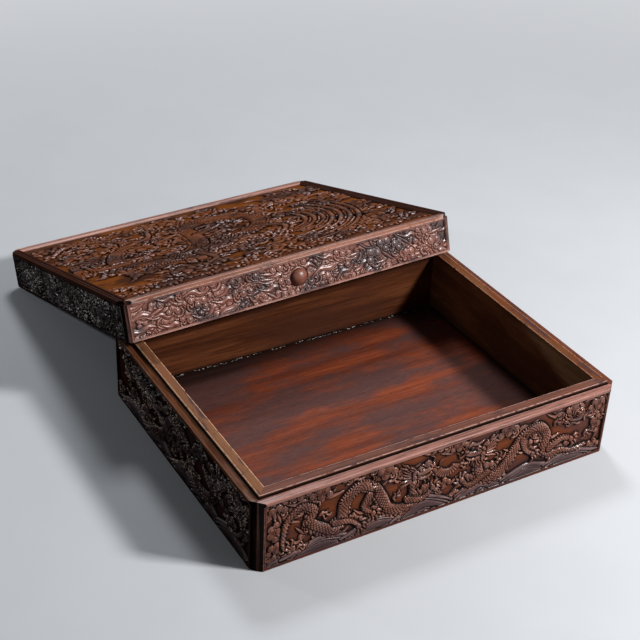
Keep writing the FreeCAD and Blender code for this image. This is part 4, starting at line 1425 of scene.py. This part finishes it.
def turned_pearl(name, around=64):
    """Spins a profile (radius, height) about the apron's normal: a dowel, a low foot ring, and a
    dome that is the sine and cosine of one angle. Its top is rubbed, and its foot is painted dark,
    for wax and the shade where it meets the apron."""
    angle = np.linspace(-0.18, np.pi / 2, 22)[1:]
    foot = [(DOWEL_RADIUS - 0.3, -DOWEL_LENGTH), (DOWEL_RADIUS, 0.3 - DOWEL_LENGTH),
            (DOWEL_RADIUS, 0.0), (5.6, 0.0), (6.1, 0.15), (6.2, 0.45)]
    dome = np.column_stack([PEARL_RADIUS * np.cos(angle), PEARL_MIDDLE + PEARL_RISE * np.sin(angle)])
    radius, height = np.vstack([foot, dome[:-1]]).T[:, :, None]
    turn = np.linspace(0, 2 * np.pi, around, endpoint=False)
    spun = np.stack([radius * np.cos(turn), np.tile(-height, (1, around)), radius * np.sin(turn)], -1)
    points = np.vstack([spun.reshape(-1, 3), [(0, DOWEL_LENGTH, 0), (0, -dome[-1, 1], 0)]])
    index, quads = tube(len(radius), around)
    middle, pole = len(points) - 2, len(points) - 1
    caps = [np.array([middle, index[0, k], index[0, (k + 1) % around]]) for k in range(around)]
    caps += [np.array([pole, index[-1, (k + 1) % around], index[-1, k]]) for k in range(around)]
    attributes = {"recess": np.clip(1 + points[:, 1] / 1.2, 0, 1), "ground": np.zeros(len(points)),
                  "crest": 0.6 * np.clip(-points[:, 1] / (PEARL_MIDDLE + PEARL_RISE), 0, 1),
                  "grain": points + [3.0, 60.0, 7.0]}
    placed = laid_on_lid(points + [0, GROUND_Y - BOX_WIDTH / 2, PEARL_HEIGHT])
    return add_mesh(name, placed, quads, caps, attributes)


dress(turned_pearl("lid_pearl"), "lid", "pearl_wood", PEARL_WOOD, "lid_pearl_boss")

# %% Finish the floor board and the battens
LID_LEAN = -0.29


def millimetres(lean=0.0, turn=0.0):
    """Object coordinates in millimetres, turned so that the grain's x runs along the board."""
    def place(finish):
        here = finish.node("TexCoord").outputs["Object"]
        inputs = {"Vector": here, "Rotation": (lean, 0.0, turn), "Scale": (1 / MM,) * 3}
        return finish.node("Mapping", {"vector_type": "POINT"}, inputs).outputs[0]
    return place


FLOOR_WOOD = plain_wood("figured floor wood",
                        (0.12, 0.028, 0.014), (0.24, 0.050, 0.019), (0.33, 0.082, 0.027),
                        rough=0.5, gleam=0.06, smoky=(0.080, 0.041, 0.039),
                        place_of=millimetres(), is_floor=True)
BATTEN_WOOD = plain_wood("batten wood", (0.04, 0.016, 0.008), (0.10, 0.042, 0.02),
                         (0.15, 0.065, 0.032), rough=0.5, gleam=0.2,
                         place_of=millimetres(lean=LID_LEAN, turn=np.pi / 2))
for node, slot_name, finish in (("box_floor_board", "floor_wood", FLOOR_WOOD),
                                ("lid_left_batten", "inner_wood", BATTEN_WOOD),
                                ("lid_right_batten", "inner_wood", BATTEN_WOOD)):
    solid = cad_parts[node]
    solid.data.materials.clear()
    solid.data.materials.append(finish)
    print(node, "takes", finish.name)

# %% [markdown]
# ## Camera, light and floor
#
# The camera looks down over the front left corner with a long lens, from about a metre away. It is
# placed by its direction, distance and small roll, all as named values. The light is a studio's,
# with five lamps: the key at the right front, a softbox high behind for the sheen on flat tops, a
# weak lamp at the right rear that brings out the front ledge, a low strip before the front face,
# and a small cool lamp at the left rear for the glints on the dark side. The world adds only a
# faint, cool tone. The floor is plain and pale for the camera, and glows a little far away, so that
# no dark horizon shows.

# %% The camera
AZIMUTH, ELEVATION, ROLL = np.radians([-31.40420655, 32.17067527, 2.77537647])
DISTANCE, RIGHTWARD, UPWARD, LENS = 1.0355754, -0.0275271, 0.0759638, 76.107
back = np.array([np.sin(AZIMUTH) * np.cos(ELEVATION), -np.cos(AZIMUTH) * np.cos(ELEVATION),
                 np.sin(ELEVATION)])
right = np.array([np.cos(AZIMUTH), np.sin(AZIMUTH), 0])
up = np.cross(back, right)
rolled_right = np.cos(ROLL) * right + np.sin(ROLL) * up
rolled_up = np.cos(ROLL) * up - np.sin(ROLL) * right
place = back * DISTANCE + rolled_right * RIGHTWARD + rolled_up * UPWARD
optics = bpy.data.cameras.new("studio camera")
optics.lens, optics.sensor_width, optics.clip_end = LENS, 36.0, 20.0
camera = bpy.data.objects.new("studio_camera", optics)
rows = [[*row] for row in zip(rolled_right, rolled_up, back, place)]
camera.matrix_world = Matrix(rows + [[0, 0, 0, 1]])
bpy.context.scene.collection.objects.link(camera)
bpy.context.scene.camera = camera
print("the camera is at", place.round(3))

# %% The lamps
def softbox(name, place, aim, size, watts, tint=(1, 1, 1)):
    """A rectangular lamp that faces the point it lights."""
    lamp = bpy.data.lights.new(name, "AREA")
    lamp.shape, lamp.size, lamp.size_y, lamp.energy, lamp.color = "RECTANGLE", *size, watts, tint
    holder = bpy.data.objects.new(name, lamp)
    holder.location = place
    holder.rotation_euler = (Vector(aim) - Vector(place)).to_track_quat("-Z", "Y").to_euler()
    bpy.context.scene.collection.objects.link(holder)


WARM, COOL, COOLER = (1.0, 0.95, 0.93), (0.95, 0.97, 1.0), (0.92, 0.96, 1.0)
softbox("key_softbox", (0.66, -0.74, 0.80), (0, 0.05, 0.03), (0.16, 0.16), 19)
softbox("rear_softbox", (0.36, 0.88, 1.28), (0, 0, 0.05), (0.32, 0.32), 9, COOL)
softbox("ledge_sheen_lamp", (0.76, 0.68, 0.88), (0.02, -0.115, 0.058), (0.42, 0.42), 0.35, WARM)
softbox("front_strip", (0.80, -1.25, 0.26), (0, 0.08, 0.08), (1.1, 0.4), 3.2, WARM)
softbox("left_glint_lamp", (-0.72, 0.82, 0.36), (-0.12, 0, 0.04), (0.045, 0.045), 1.6, COOLER)
print("lamps:", [lamp.name for lamp in bpy.data.lights])

# %% The surround
PALE, PALE_SHADE = (0.60, 0.615, 0.64), (0.55, 0.565, 0.59)
BLACK, DARK_CLOTH, FAINT_SKY = (0.0, 0.0, 0.0), (0.10, 0.105, 0.12), (0.045, 0.047, 0.05)


def seen_directly(owner):
    """1 for what the camera sees, straight or in a reflection or through glass, and 0 for light
    that bounces."""
    path = owner.node("LightPath")
    kinds = ("Is Camera Ray", "Is Glossy Ray", "Is Transmission Ray")
    seen = [Value(owner, path.outputs[kind]) for kind in kinds]
    return sum(seen[1:], seen[0]).clamped()


def plain_surround():
    """The world lights the object as one faint, cool tone, and is seen as pale as the floor."""
    world = bpy.data.worlds.new("pale surround")
    bpy.context.scene.world = world
    sky = Finish(world, "BACKGROUND")
    sky.feed(sky.shader.inputs["Color"], sky.blend(seen_directly(sky), FAINT_SKY, PALE))
    sky.shader.inputs["Strength"].default_value = 1.0


plain_surround()
bpy.context.scene.view_settings.view_transform = "Standard"

# %% The floor
FLOOR_REACH = 9.0
GLOW_FROM, GLOW_FULL = 0.42, 1.15


def pale_floor():
    """A wide sheet with a faint noise away from one flat tone. The camera and reflections see it
    pale, and far from the lamps it glows with that tone for them, so that there is no dark horizon.
    To light that bounces off it, it is a dark cloth, so that it doesn't flood the box's sides from
    below."""
    finish = Finish(bpy.data.materials.new("pale studio floor"))
    here = finish.node("TexCoord").outputs["Object"]
    tone = finish.noise(here, 14.0, 14.0, roughness=0.55)
    away = finish.node("VectorMath", {"operation": "LENGTH"}, {0: here}).outputs["Value"]
    far = finish.between(away, GLOW_FROM, GLOW_FULL)
    seen = seen_directly(finish)
    near_tone = finish.blend(seen, DARK_CLOTH, finish.blend(tone, PALE_SHADE, PALE))
    finish.feed(finish.shader.inputs["Emission Color"], finish.blend(far * seen, BLACK, PALE))
    material = finish.done(finish.blend(far, near_tone, BLACK), 0.75 + tone * 0.1,
                           Specular_IOR_Level=0.2, Emission_Strength=1.0)
    mesh = bpy.data.meshes.new("floor")
    corners = [(x * FLOOR_REACH, y * FLOOR_REACH, 0) for x, y in ((-1, -1), (1, -1), (1, 1), (-1, 1))]
    mesh.from_pydata(corners, [], [(0, 1, 2, 3)])
    floor = bpy.data.objects.new("studio_floor", mesh)
    floor.data.materials.append(material)
    bpy.context.scene.collection.objects.link(floor)


pale_floor()
print("the floor reaches", FLOOR_REACH, "m to each side")
